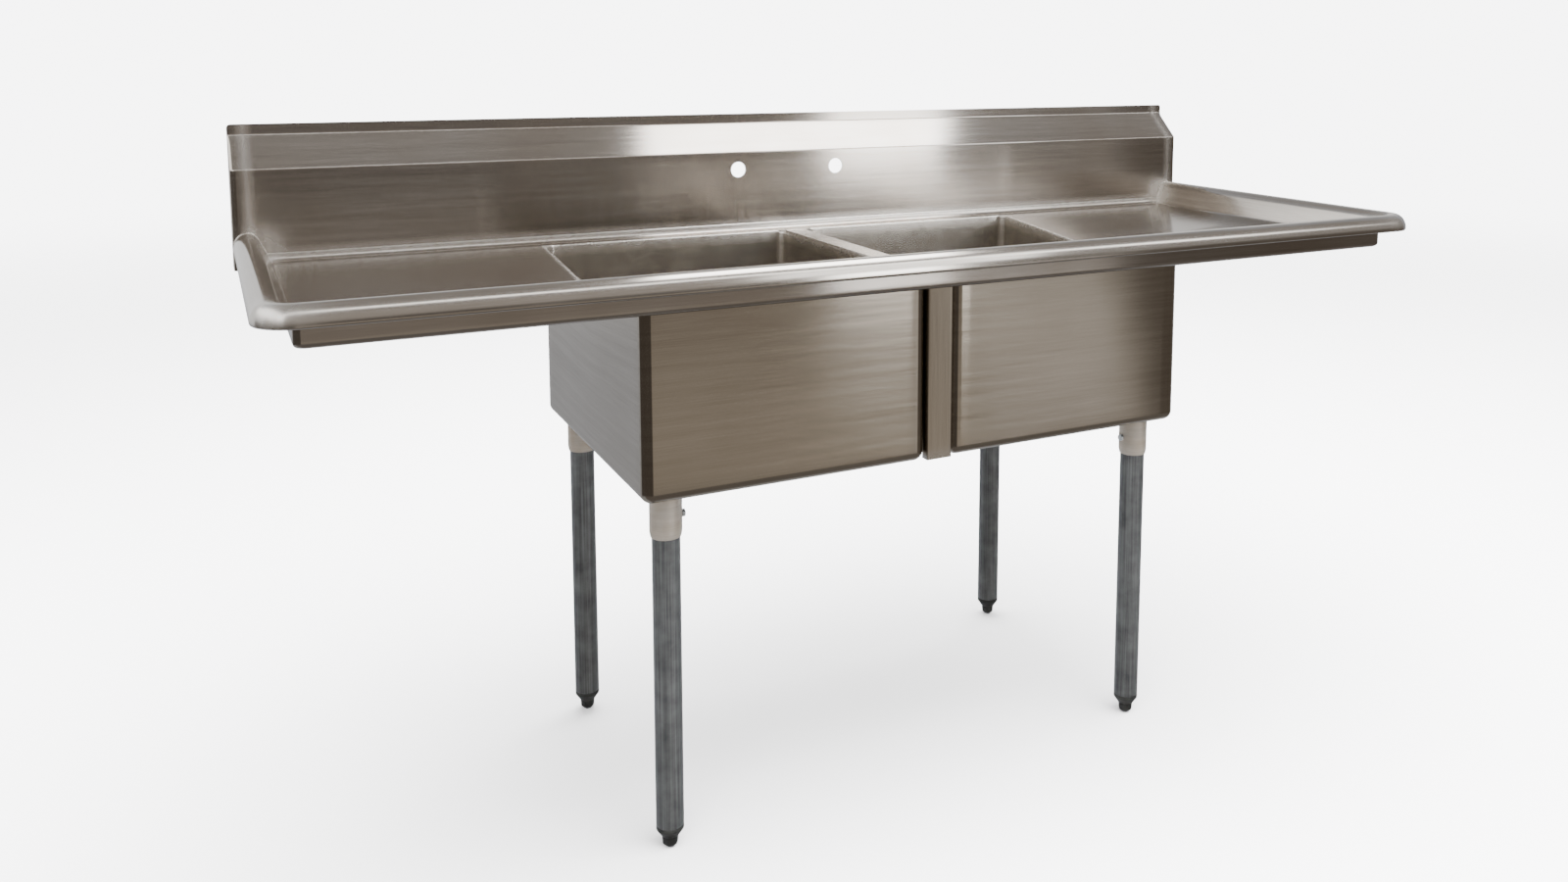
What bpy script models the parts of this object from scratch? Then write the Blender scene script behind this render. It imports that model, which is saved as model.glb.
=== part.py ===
# Two-bowl stainless scullery sink with a drainboard at each end.
# Metres, +Z up. Origin on the floor under the middle; the wall is on the +Y side, the user on the -Y side.

import math

import bmesh
import bpy
import numpy as np

# Overall sizes
LENGTH = 1.915  # over the rolled rims at both ends
DEPTH = 0.719  # wall to the front of the rolled rim
DECK_HEIGHT = 0.838  # floor to the ledges around the bowls

# Sheet metal
SHEET = 0.0015  # 16 gauge
GAP = 0.0003  # between pieces that touch

# Rolled rim, an arch with a leaning wall inside it
RIM_RISE = 0.048  # deck to the top of the arch
RIM_WIDTH = 0.040
RIM_ARCH = 0.025  # height of the arch
RIM_CORNER = 0.052  # plan radius of the outer edge
TIGHT_CORNER = 0.010  # smallest plan radius of the bends inside it
ARCH_END = 150.0  # degrees round the arch where the wall begins
WALL_FOOT = 0.054  # outer edge to where the wall meets the deck
RIM_FLANGE = 0.006  # level strip inside the wall's foot

# Skirt under the rim
SKIRT_CLEARANCE = 0.0006  # skirt's top edge to the wall outside it
SKIRT_TOP = 0.011  # above the deck
SKIRT_BOTTOM = 0.014  # below the deck
SKIRT_BEND = 0.008
SKIRT_RETURN = 0.020

# Backsplash
SPLASH_RISE = 0.218  # deck to the top of the lip
SPLASH_LIP = 0.0173
SPLASH_SLOPE_DROP = 0.0522
SPLASH_FACE = 0.0568  # wall to the front face
SPLASH_BELOW = 0.012  # how far the face goes under the deck
COVE_RADIUS = 0.012
FAUCET_CENTRES = 0.2032
FAUCET_HOLE = 0.029
FAUCET_RISE = 0.116  # deck to the hole centres

# Bowls
BOWL_WIDTH = 0.4536
BOWL_DIVIDE = 0.044  # space between the two bowls
BOWL_DROP = 0.293  # deck to the underside
FRONT_LEDGE = 0.088  # outer rim edge to the bowl fronts
REAR_LEDGE = 0.084  # wall to the bowl backs
BOWL_CORNER = 0.018  # plan radius
BOWL_BEND = 0.016  # radius round the bottom
CAP_LIP = 0.012  # depth of the divider cap's lips
FILLER_LAP = 0.0005  # beyond the space between the bowls, each side
FILLER_SHEET = 0.0012

# Drainboards, folded down towards the middle of the bowl's side
DISH = 0.025
CHANNEL_WIDTH = 0.030
CHANNEL_DEPTH = 0.020
CHANNEL_FLANGE = 0.015
CHANNEL_END = 0.040  # clear at each end of a drainboard

# Legs
LEG_SIDE_INSET = 0.0486  # bowl side to leg axis
LEG_FRONT_INSET = 0.053
LEG_REAR_INSET = 0.039
LEG_TUBE = 0.0413
LEG_WALL = 0.0016
GUSSET_SHEET = 0.0025
GUSSET_MARGIN = 0.0007  # socket to the plate's outer edges
GUSSET_INWARD = 0.060
SOCKET_WALL = 0.00285
SOCKET_LENGTH = 0.063
SOCKET_NOSE = 0.005  # height of the drawn-in lower end
LEG_TOP_CLEARANCE = 0.002
SCREW_SHANK = 0.0064
SCREW_HEAD = 0.0120
SCREW_HEAD_HEIGHT = 0.0050
SCREW_ABOVE_NOSE = 0.030

# Feet
FOOT_HEIGHT = 0.035  # floor to the end of the tube
FOOT_COLLAR = 0.006
FOOT_TAPER = 0.012
FOOT_STUB = 0.023
FOOT_CHAMFER = 0.0055
FOOT_STEM = 0.016
FOOT_STEM_LENGTH = 0.045
INSERT_LENGTH = 0.030

# Drains
DRAIN_HOLE = 0.090
DRAIN_FLANGE_RIM = 0.012  # how far the flange reaches beyond the hole
DRAIN_WALL = 0.0020
DRAIN_SEAT = 0.012  # bowl floor to the ledge that carries the basket
DRAIN_SEAT_WIDTH = 0.006
DRAIN_CUP = 0.044  # bowl floor to the bottom of the cup
DRAIN_CONE = 0.008
DRAIN_TAIL = 0.038
DRAIN_TAIL_LENGTH = 0.030
DRAIN_CLEARANCE = 0.0010  # cup to the bowl's hole, and basket to the cup
GASKET = 0.0020
GASKET_RIM = 0.012
LOCKNUT = 0.008
LOCKNUT_RIM = 0.010
BASKET_SHEET = 0.0010
BASKET_DEPTH = 0.024  # seat ledge to the basket's floor
BASKET_TAPER = 0.004
BASKET_LIP = 0.005  # seat ledge to the basket's top edge
POST = 0.008
KNOB = 0.018
KNOB_HEIGHT = 0.008
POST_RISE = 0.018
POST_FOOT = 0.002  # below the seal
SEAL = 0.004

ROUND = 20  # sides of a turned piece
BEND_STEPS = 5
ARCH_STEPS = 10
CORNER_STEPS = 7
BOARD_ROWS = 6  # bends sampled along a drainboard
BOARD_HALF = 5  # points from a drainboard's edge to its fold

# Places that follow from the sizes above
BACK_Y = DEPTH / 2
FRONT_Y = -DEPTH / 2
FACE_Y = BACK_Y - SPLASH_FACE
BOWL_BACK_Y = BACK_Y - REAR_LEDGE
BOWL_FRONT_Y = FRONT_Y + FRONT_LEDGE
BOWL_IN_X = BOWL_DIVIDE / 2
BOWL_OUT_X = BOWL_IN_X + BOWL_WIDTH
FLANGE_INSET = WALL_FOOT + RIM_FLANGE
DECK_UNDER = DECK_HEIGHT - SHEET
BOWL_BASE = DECK_HEIGHT - BOWL_DROP
BOWL_FLOOR = BOWL_BASE + SHEET
BOARD_OUT_X = LENGTH / 2 - FLANGE_INSET - GAP
BOARD_IN_X = BOWL_OUT_X - SHEET
BOARD_FRONT_Y = FRONT_Y + FLANGE_INSET + GAP
LEDGE_BACK_Y = BOWL_BACK_Y - SHEET
BOARD_BACK_Y = LEDGE_BACK_Y - GAP
BOARD_MID_Y = (BOARD_FRONT_Y + BOARD_BACK_Y) / 2
GUSSET_TOP = BOWL_BASE - GAP
SOCKET_TOP = GUSSET_TOP - GUSSET_SHEET - GAP
SOCKET_BOTTOM = SOCKET_TOP - SOCKET_LENGTH
LEG_TOP = SOCKET_TOP - LEG_TOP_CLEARANCE
SOCKET_RADIUS = LEG_TUBE / 2 + GAP + SOCKET_WALL
GUSSET_OUTWARD = SOCKET_RADIUS + GUSSET_MARGIN
ARCH_FOOT = DECK_HEIGHT + RIM_RISE - RIM_ARCH

SIDES = {"left": -1, "right": 1}
ENDS = {"front": BOWL_FRONT_Y + LEG_FRONT_INSET, "rear": BOWL_BACK_Y - LEG_REAR_INSET}
LEG_X = BOWL_OUT_X - LEG_SIDE_INSET


def material(name, colour, roughness, metallic):
    made = bpy.data.materials.new(name)
    made.use_nodes = True
    surface = made.node_tree.nodes["Principled BSDF"]
    surface.inputs["Base Color"].default_value = (*colour, 1.0)
    surface.inputs["Roughness"].default_value = roughness
    surface.inputs["Metallic"].default_value = metallic
    made.diffuse_color = (*colour, 1.0)
    return made


# Outlines, in two dimensions


def arc(centre, radii, start, end, steps=BEND_STEPS):
    """Points on an ellipse from one angle to the other, in degrees."""
    turn = np.radians(np.linspace(start, end, steps + 1))
    return [(centre[0] + radii[0] * math.cos(a), centre[1] + radii[1] * math.sin(a)) for a in turn]


def beside(line, distance):
    """The line moved to its own right-hand side by a distance, with mitred corners."""
    points = np.array(line, float)
    run = np.diff(points, axis=0)
    run /= np.linalg.norm(run, axis=1, keepdims=True)
    right = np.column_stack([run[:, 1], -run[:, 0]])
    before = np.vstack([right[:1], right])
    after = np.vstack([right, right[-1:]])
    mitre = before + after
    mitre /= np.sum(mitre * after, axis=1, keepdims=True)
    return points + distance * mitre


def folded(line, thickness=SHEET):
    """The closed outline of a folded sheet whose one face follows the line."""
    return np.vstack([np.array(line, float), beside(line, thickness)[::-1]])


# Solids


def finish(name, bm, finish_material, smooth_angle=30):
    bmesh.ops.recalc_face_normals(bm, faces=bm.faces)
    mesh = bpy.data.meshes.new(name)
    bm.to_mesh(mesh)
    bm.free()
    mesh.shade_smooth()
    mesh.set_sharp_from_angle(angle=math.radians(smooth_angle))
    mesh.materials.append(finish_material)
    made = bpy.data.objects.new(name, mesh)
    bpy.context.collection.objects.link(made)
    return made


def lofted(name, rings, finish_material, looped=False):
    """A solid through a run of closed rings, each an (n, 3) array; its ends are capped unless it is looped."""
    bm = bmesh.new()
    rows = [[bm.verts.new(point) for point in ring] for ring in rings]
    pairs = list(zip(rows, rows[1:]))
    if looped:
        pairs.append((rows[-1], rows[0]))
    for low, high in pairs:
        for i in range(len(low)):
            j = (i + 1) % len(low)
            bm.faces.new((low[i], low[j], high[j], high[i]))
    if not looped:
        bm.faces.new(rows[0])
        bm.faces.new(rows[-1])
    return finish(name, bm, finish_material)


def extruded(name, outline, axis, start, end, finish_material):
    """An outline in the other two axes, in their X, Y, Z order, carried along one axis."""
    rings = [np.insert(outline, axis, place, axis=1) for place in (start, end)]
    return lofted(name, rings, finish_material)


def turned(name, outline, finish_material, sides=ROUND):
    """A closed outline of (radius, height) turned about Z; points on the axis become poles."""
    bm = bmesh.new()
    turn = np.linspace(0, 2 * math.pi, sides, endpoint=False)
    rows = []
    for radius, height in outline:
        if radius == 0:
            rows.append([bm.verts.new((0, 0, height))] * sides)
        else:
            rows.append([bm.verts.new((radius * math.cos(a), radius * math.sin(a), height)) for a in turn])
    for low, high in zip(rows, rows[1:] + rows[:1]):
        if low[0] is low[1] and high[0] is high[1]:
            continue
        for i in range(sides):
            j = (i + 1) % sides
            corners = dict.fromkeys((low[i], low[j], high[j], high[i]))
            bm.faces.new(corners)
    return finish(name, bm, finish_material)


def cut(target, cutter):
    cutter.hide_render = True
    cutter.display_type = "WIRE"
    modifier = target.modifiers.new("hole", "BOOLEAN")
    modifier.operation = "DIFFERENCE"
    modifier.solver = "EXACT"
    modifier.object = cutter


# Deck, rim and skirt


def around_rim(inset):
    """The U-shaped path at one inset from the rim's outer edge: left end, front, right end."""
    radius = max(RIM_CORNER - inset, TIGHT_CORNER)
    reach = LENGTH / 2 - inset - radius
    near = FRONT_Y + inset + radius
    stop = FACE_Y - GAP
    left = arc((-reach, near), (radius, radius), 180, 270, CORNER_STEPS)
    right = arc((reach, near), (radius, radius), 270, 360, CORNER_STEPS)
    return [(-reach - radius, stop), *left, *right, (reach + radius, stop)]


def rim_swept(name, outline, finish_material):
    """An outline of (inset, height) carried round the rim's path."""
    paths = np.array([around_rim(inset) for inset, _ in outline])
    heights = outline[:, 1]
    rings = [np.column_stack([paths[:, i], heights]) for i in range(paths.shape[1])]
    return lofted(name, rings, finish_material)


def rim_line():
    """The rim's upper face as (inset, height): the arch, the leaning wall and the flange at its foot."""
    half = RIM_WIDTH / 2
    line = arc((half, ARCH_FOOT), (half, RIM_ARCH), 180, 180 - ARCH_END, ARCH_STEPS)
    return [*line, (WALL_FOOT, DECK_HEIGHT), (FLANGE_INSET, DECK_HEIGHT)]


def rolled_rim(finish_material):
    return rim_swept("rolled_rim", folded(rim_line()), finish_material)


def skirt(finish_material):
    """The apron, which hangs from the outside of the leaning wall."""
    top = DECK_HEIGHT + SKIRT_TOP
    bottom = DECK_HEIGHT - SKIRT_BOTTOM
    head, foot = np.array(rim_line()[-3:-1])
    lean = (foot[0] - head[0]) / (head[1] - foot[1])
    wall = foot[0] - lean * SKIRT_TOP - SHEET * math.hypot(1, lean)
    face = wall - SKIRT_CLEARANCE - SHEET
    bend = arc((face + SKIRT_BEND, bottom + SKIRT_BEND), (SKIRT_BEND, SKIRT_BEND), 180, 270)
    line = [(face + SKIRT_RETURN, bottom), *bend[::-1], (face, top)]
    return rim_swept("apron_skirt", folded(line), finish_material)


def dip(x, y):
    """How far a drainboard lies below the deck: nothing at its outer end and long edges."""
    along = (BOARD_OUT_X - abs(x)) / (BOARD_OUT_X - BOARD_IN_X)
    across = 1 - abs(y - BOARD_MID_Y) / (BOARD_BACK_Y - BOARD_MID_Y)
    return DISH * min(max(along, 0), 1) * max(across, 0)


def drainboard(name, side, finish_material):
    """A folded plate whose outer front corner follows the bend inside the rim."""
    bend_x, bend_y = BOARD_OUT_X - TIGHT_CORNER, BOARD_FRONT_Y + TIGHT_CORNER
    corner = arc((bend_x, bend_y), (TIGHT_CORNER, TIGHT_CORNER), 0, -90)
    inward = np.linspace(bend_x, BOARD_IN_X, BOARD_ROWS)[1:]
    rings = []
    for x, front_y in [*corner, *((x, BOARD_FRONT_Y) for x in inward)]:
        near = np.linspace(front_y, BOARD_MID_Y, BOARD_HALF)
        far = np.linspace(BOARD_MID_Y, BOARD_BACK_Y, BOARD_HALF)[1:]
        top = [(side * x, y, DECK_HEIGHT - dip(x, y)) for y in [*near, *far]]
        under = [(px, py, pz - SHEET) for px, py, pz in top[::-1]]
        rings.append(np.array(top + under))
    return lofted(name, rings, finish_material)


def channel(name, side, finish_material):
    """A hat section under a drainboard's centre fold, tilted with it."""
    half = CHANNEL_WIDTH / 2
    line = [
        (-half - CHANNEL_FLANGE, 0),
        (-half, 0),
        (-half, -CHANNEL_DEPTH),
        (half, -CHANNEL_DEPTH),
        (half, 0),
        (half + CHANNEL_FLANGE, 0),
    ]
    section = folded(line)
    rings = []
    for x in (BOARD_OUT_X - CHANNEL_END, BOARD_IN_X + CHANNEL_END):
        under = DECK_UNDER - dip(x, BOARD_MID_Y) - GAP
        rings.append(np.column_stack([np.full(len(section), side * x), section + (BOARD_MID_Y, under)]))
    return lofted(name, rings, finish_material)


def front_ledge(finish_material):
    back = BOWL_FRONT_Y + SHEET
    outline = [
        (BOARD_FRONT_Y, DECK_UNDER),
        (back, DECK_UNDER),
        (back, DECK_HEIGHT),
        (BOARD_FRONT_Y, DECK_HEIGHT),
    ]
    reach = BOARD_IN_X - GAP
    return extruded("front_ledge", outline, 0, -reach, reach, finish_material)


def divider_cap(finish_material):
    """A flat strip over the two inner bowl walls, with a lip down inside each."""
    edge = BOWL_IN_X + SHEET
    lip = BOWL_IN_X - GAP
    inner = lip - SHEET
    low = DECK_UNDER - CAP_LIP
    half = [
        (edge, DECK_HEIGHT),
        (edge, DECK_UNDER),
        (lip, DECK_UNDER),
        (lip, low),
        (inner, low),
        (inner, DECK_UNDER),
    ]
    outline = half + [(-x, z) for x, z in half[::-1]]
    start = BOWL_FRONT_Y + SHEET + GAP
    return extruded("divider_cap", outline, 1, start, LEDGE_BACK_Y - GAP, finish_material)


def filler_strip(name, face_y, outward, finish_material):
    """A narrow plate over the gap between the bowls, from the deck to their undersides."""
    near = face_y + outward * GAP
    far = near + outward * FILLER_SHEET
    half = BOWL_DIVIDE / 2 + FILLER_LAP
    outline = [(-half, near), (half, near), (half, far), (-half, far)]
    return extruded(name, outline, 2, BOWL_BASE + SHEET, DECK_UNDER - GAP, finish_material)


# Backsplash


def splash_line():
    """The front face from the top of the lip to below the deck, as (y, z)."""
    top = DECK_HEIGHT + SPLASH_RISE
    lip_foot = top - SPLASH_LIP
    lip_y = BACK_Y - SHEET
    return [
        (lip_y, top),
        (lip_y, lip_foot),
        (FACE_Y, lip_foot - SPLASH_SLOPE_DROP),
        (FACE_Y, DECK_HEIGHT - SPLASH_BELOW),
    ]


def backsplash(finish_material):
    outline = folded(splash_line()[::-1])
    panel = extruded("backsplash_panel", outline, 0, -LENGTH / 2, LENGTH / 2, finish_material)
    for side, sign in SIDES.items():
        name = "faucet_hole_" + side
        radius, reach = FAUCET_HOLE / 2, SHEET * 2
        tool = turned(name, [(0, -reach), (radius, -reach), (radius, reach), (0, reach)], finish_material)
        tool.rotation_euler.x = math.pi / 2
        tool.location = (sign * FAUCET_CENTRES / 2, FACE_Y + SHEET / 2, DECK_HEIGHT + FAUCET_RISE)
        cut(panel, tool)


def splash_end(name, side, finish_material):
    """The plate that closes one end of the backsplash, behind its panel."""
    behind = beside(splash_line()[::-1], SHEET + GAP)[::-1]
    share = (BACK_Y - behind[2][0]) / (behind[1][0] - behind[2][0])
    peak = behind[2] + share * (behind[1] - behind[2])
    outline = [peak, (BACK_Y, behind[3][1]), behind[3], behind[2]]
    outer = side * LENGTH / 2
    return extruded(name, outline, 0, outer, outer - side * SHEET, finish_material)


def rear_deck(finish_material):
    """The cove at the foot of the backsplash and the ledge behind the bowls."""
    foot_y = FACE_Y - GAP - SHEET
    bend = arc((foot_y - COVE_RADIUS, DECK_HEIGHT + COVE_RADIUS), (COVE_RADIUS, COVE_RADIUS), 0, -90)
    line = [*bend, (LEDGE_BACK_Y, DECK_HEIGHT)]
    outline = folded(line[::-1])
    return extruded("rear_deck", outline, 0, -BOARD_OUT_X, BOARD_OUT_X, finish_material)


# Bowls


def bowl_ring(inset, heights, low_x, high_x):
    """A rounded rectangle inside the bowl's outer walls; heights is a number or a function of (x, y)."""
    radius = max(BOWL_CORNER - inset, SHEET / 2)
    x0, x1 = low_x + inset + radius, high_x - inset - radius
    y0, y1 = BOWL_FRONT_Y + inset + radius, BOWL_BACK_Y - inset - radius
    mid_x = (x0 + x1) / 2
    corners = [
        ((x0, y0), 180, (mid_x, y0 - radius)),
        ((x1, y0), 270, (x1 + radius, BOARD_MID_Y)),
        ((x1, y1), 0, (mid_x, y1 + radius)),
        ((x0, y1), 90, (x0 - radius, BOARD_MID_Y)),
    ]
    flat = []
    for centre, start, side_middle in corners:
        flat += [*arc(centre, (radius, radius), start, start + 90), side_middle]
    level = heights if callable(heights) else lambda x, y: heights
    return np.array([(x, y, level(x, y)) for x, y in flat])


def bowl_top(x, y):
    """The walls' top edge: level under the ledges, following the drainboard along the outer side."""
    turn_x = BOWL_OUT_X - BOWL_CORNER
    share = min(max((abs(x) - turn_x) / (BOARD_IN_X - turn_x), 0), 1)
    return DECK_UNDER - GAP - share * dip(BOARD_IN_X, y)


def bowl(name, side, finish_material):
    low_x, high_x = sorted((side * BOWL_IN_X, side * BOWL_OUT_X))
    centre_x = (low_x + high_x) / 2
    centre_y = (BOWL_FRONT_Y + BOWL_BACK_Y) / 2
    bends = np.radians(np.linspace(0, 90, BEND_STEPS + 1))
    outside = [bowl_ring(0, bowl_top, low_x, high_x)]
    inside = [bowl_ring(SHEET, bowl_top, low_x, high_x)]
    inner_bend = BOWL_BEND - SHEET
    for a in bends:
        round_in, round_up = 1 - math.cos(a), 1 - math.sin(a)
        outside.append(bowl_ring(BOWL_BEND * round_in, BOWL_BASE + BOWL_BEND * round_up, low_x, high_x))
        inset = SHEET + inner_bend * round_in
        inside.append(bowl_ring(inset, BOWL_FLOOR + inner_bend * round_up, low_x, high_x))
    count = len(outside[0])
    turn = math.radians(225) + (np.arange(count) - BEND_STEPS / 2) * 2 * math.pi / count
    circle = np.column_stack([np.cos(turn), np.sin(turn)]) * DRAIN_HOLE / 2 + (centre_x, centre_y)
    holes = [np.column_stack([circle, np.full(count, z)]) for z in (BOWL_BASE, BOWL_FLOOR)]
    return lofted(name, [*outside, *holes, *inside[::-1]], finish_material, looped=True)


# Drains, made about the axis with the bowl floor at height zero


def drain_parts(side_name, side, steel, rubber, plastic):
    flange = DRAIN_HOLE / 2 + DRAIN_FLANGE_RIM
    outer = DRAIN_HOLE / 2 - DRAIN_CLEARANCE
    inner = outer - DRAIN_WALL
    seat = inner - DRAIN_SEAT_WIDTH
    tail = DRAIN_TAIL / 2
    end = -DRAIN_CUP - DRAIN_CONE - DRAIN_TAIL_LENGTH
    body = [
        (inner, GAP + DRAIN_WALL),
        (flange, GAP + DRAIN_WALL),
        (flange, GAP),
        (outer, GAP),
        (outer, -DRAIN_SEAT - DRAIN_WALL),
        (seat + DRAIN_WALL, -DRAIN_SEAT - DRAIN_WALL),
        (seat + DRAIN_WALL, -DRAIN_CUP),
        (tail, -DRAIN_CUP - DRAIN_CONE),
        (tail, end),
        (tail - DRAIN_WALL, end),
        (tail - DRAIN_WALL, -DRAIN_CUP - DRAIN_CONE + DRAIN_WALL / 2),
        (seat, -DRAIN_CUP + DRAIN_WALL / 2),
        (seat, -DRAIN_SEAT),
        (inner, -DRAIN_SEAT),
    ]
    ring = outer + GAP
    gasket_top = -SHEET - GAP
    gasket_low = gasket_top - GASKET
    gasket = [
        (ring, gasket_top),
        (ring + GASKET_RIM, gasket_top),
        (ring + GASKET_RIM, gasket_low),
        (ring, gasket_low),
    ]
    nut_top = gasket_low - GAP
    locknut = [
        (ring, nut_top),
        (ring + LOCKNUT_RIM, nut_top),
        (ring + LOCKNUT_RIM, nut_top - LOCKNUT),
        (ring, nut_top - LOCKNUT),
    ]
    rest = -DRAIN_SEAT + GAP
    wall = seat - DRAIN_CLEARANCE
    rim = inner - DRAIN_CLEARANCE
    floor = rest - BASKET_DEPTH
    foot = wall - BASKET_TAPER
    bore = POST / 2 + GAP
    basket = [
        (rim, rest + BASKET_LIP),
        (rim, rest),
        (wall, rest),
        (foot, floor),
        (bore, floor),
        (bore, floor + BASKET_SHEET),
        (foot - BASKET_SHEET, floor + BASKET_SHEET),
        (wall - BASKET_SHEET, rest + BASKET_SHEET),
        (rim - BASKET_SHEET, rest + BASKET_SHEET),
        (rim - BASKET_SHEET, rest + BASKET_LIP),
    ]
    seal_top = floor - GAP
    seal_low = seal_top - SEAL
    seal = [(bore, seal_top), (foot, seal_top), (foot - SEAL / 2, seal_low), (bore, seal_low)]
    knob_low = floor + BASKET_SHEET + POST_RISE
    knob_top = knob_low + KNOB_HEIGHT
    post_low = seal_low - POST_FOOT
    knob = [
        (0, post_low),
        (POST / 2, post_low),
        (POST / 2, knob_low),
        (KNOB / 2, knob_low),
        (KNOB / 2, knob_top - KNOB_HEIGHT / 3),
        (KNOB / 3, knob_top),
        (0, knob_top),
    ]
    pieces = {
        "drain_body_": (body, steel),
        "drain_gasket_": (gasket, rubber),
        "drain_locknut_": (locknut, plastic),
        "strainer_basket_": (basket, steel),
        "strainer_seal_": (seal, rubber),
        "strainer_post_": (knob, steel),
    }
    place = bpy.data.objects.new("drain_axis_" + side_name, None)
    place.location = (
        side * (BOWL_IN_X + BOWL_OUT_X) / 2,
        (BOWL_FRONT_Y + BOWL_BACK_Y) / 2,
        BOWL_FLOOR,
    )
    bpy.context.collection.objects.link(place)
    for name, (outline, finish_material) in pieces.items():
        made = turned(name + side_name, outline, finish_material)
        made.parent = place


# Legs, made about the leg's axis


def gusset(name, side, inward_y, finish_material):
    """A plate under the bowl with its inner corner cut across; it reaches further towards the bowl's middle."""
    cut_back = GUSSET_INWARD / 2
    outline = [
        (GUSSET_OUTWARD, -GUSSET_OUTWARD),
        (GUSSET_OUTWARD, GUSSET_INWARD),
        (-cut_back, GUSSET_INWARD),
        (-GUSSET_INWARD, cut_back),
        (-GUSSET_INWARD, -GUSSET_OUTWARD),
    ]
    outline = [(side * x, inward_y * y) for x, y in outline]
    return extruded(name, outline, 2, GUSSET_TOP - GUSSET_SHEET, GUSSET_TOP, finish_material)


def leg_parts(place_name, side, leg_y, inward_y, steel, zinc, plastic):
    tube = LEG_TUBE / 2
    bore = tube - LEG_WALL
    socket = SOCKET_RADIUS
    throat = tube + GAP
    nose = SOCKET_BOTTOM + SOCKET_NOSE
    socket_outline = [
        (throat, SOCKET_TOP),
        (socket, SOCKET_TOP),
        (socket, nose),
        ((socket + throat) / 2 + SHEET / 2, SOCKET_BOTTOM + SOCKET_NOSE / 3),
        (throat + SHEET / 2, SOCKET_BOTTOM),
        (throat, SOCKET_BOTTOM),
    ]
    tube_outline = [(bore, LEG_TOP), (tube, LEG_TOP), (tube, FOOT_HEIGHT), (bore, FOOT_HEIGHT)]
    stem = FOOT_STEM / 2
    insert_outline = [
        (stem + GAP, FOOT_HEIGHT + INSERT_LENGTH),
        (bore - GAP, FOOT_HEIGHT + INSERT_LENGTH),
        (bore - GAP, FOOT_HEIGHT),
        (stem + GAP, FOOT_HEIGHT),
    ]
    collar_top = FOOT_HEIGHT - GAP
    collar_low = FOOT_HEIGHT - FOOT_COLLAR
    stub = FOOT_STUB / 2
    foot_outline = [
        (0, collar_top + FOOT_STEM_LENGTH),
        (stem, collar_top + FOOT_STEM_LENGTH),
        (stem, collar_top),
        (tube, collar_top),
        (tube, collar_low),
        (stub, collar_low - FOOT_TAPER),
        (stub, FOOT_CHAMFER),
        (stub - FOOT_CHAMFER, 0),
        (0, 0),
    ]
    axis = bpy.data.objects.new("leg_axis_" + place_name, None)
    axis.location = (side * LEG_X, leg_y, 0)
    bpy.context.collection.objects.link(axis)
    gusset_plate = gusset("leg_gusset_" + place_name, side, inward_y, steel)
    holder = turned("leg_socket_" + place_name, socket_outline, steel)
    leg = turned("leg_tube_" + place_name, tube_outline, zinc)
    insert = turned("foot_insert_" + place_name, insert_outline, plastic)
    foot = turned("bullet_foot_" + place_name, foot_outline, plastic)
    screw, hole = set_screw("socket_screw_" + place_name, side, zinc)
    for made in (gusset_plate, holder, leg, insert, foot, screw, hole):
        made.parent = axis
    cut(holder, hole)


def set_screw(name, side, finish_material):
    """The hexagon screw that clamps the leg, on the socket's inner side, and the tool for its hole."""
    shank = SCREW_SHANK / 2
    start = LEG_TUBE / 2 + GAP * 2
    seat = SOCKET_RADIUS + GAP
    end = seat + SCREW_HEAD_HEIGHT
    head = SCREW_HEAD / 2
    outline = [(0, start), (shank, start), (shank, seat), (head, seat), (head, end), (0, end)]
    screw = turned(name, outline, finish_material, sides=6)
    clear = shank + GAP
    inside = start - SCREW_SHANK
    hole_outline = [(0, inside), (clear, inside), (clear, end), (0, end)]
    hole = turned(name + "_hole", hole_outline, finish_material)
    for made in (screw, hole):
        made.rotation_euler.y = -side * math.pi / 2
        made.location.z = SOCKET_BOTTOM + SCREW_ABOVE_NOSE
    return screw, hole


def main():
    for old in list(bpy.data.objects):
        bpy.data.objects.remove(old, do_unlink=True)
    brushed = material("brushed stainless", (0.60, 0.58, 0.55), 0.32, 1.0)
    polished = material("ground stainless", (0.70, 0.69, 0.67), 0.20, 1.0)
    zinc = material("galvanised steel", (0.33, 0.36, 0.39), 0.45, 1.0)
    plastic = material("black plastic", (0.025, 0.026, 0.025), 0.45, 0.0)
    rubber = material("black rubber", (0.03, 0.03, 0.03), 0.70, 0.0)

    rolled_rim(polished)
    skirt(brushed)
    backsplash(brushed)
    rear_deck(brushed)
    front_ledge(brushed)
    divider_cap(brushed)
    filler_strip("front_filler_strip", BOWL_FRONT_Y, -1, brushed)
    filler_strip("rear_filler_strip", BOWL_BACK_Y, 1, brushed)
    for side_name, side in SIDES.items():
        splash_end("backsplash_end_" + side_name, side, brushed)
        drainboard("drainboard_" + side_name, side, brushed)
        channel("drainboard_channel_" + side_name, side, brushed)
        bowl("bowl_" + side_name, side, brushed)
        drain_parts(side_name, side, polished, rubber, plastic)
        for end_name, leg_y in ENDS.items():
            inward_y = 1 if end_name == "front" else -1
            leg_parts(end_name + "_" + side_name, side, leg_y, inward_y, brushed, zinc, plastic)


main()
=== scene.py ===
import math

import bpy
import numpy as np
from mathutils import Matrix, Vector


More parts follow.
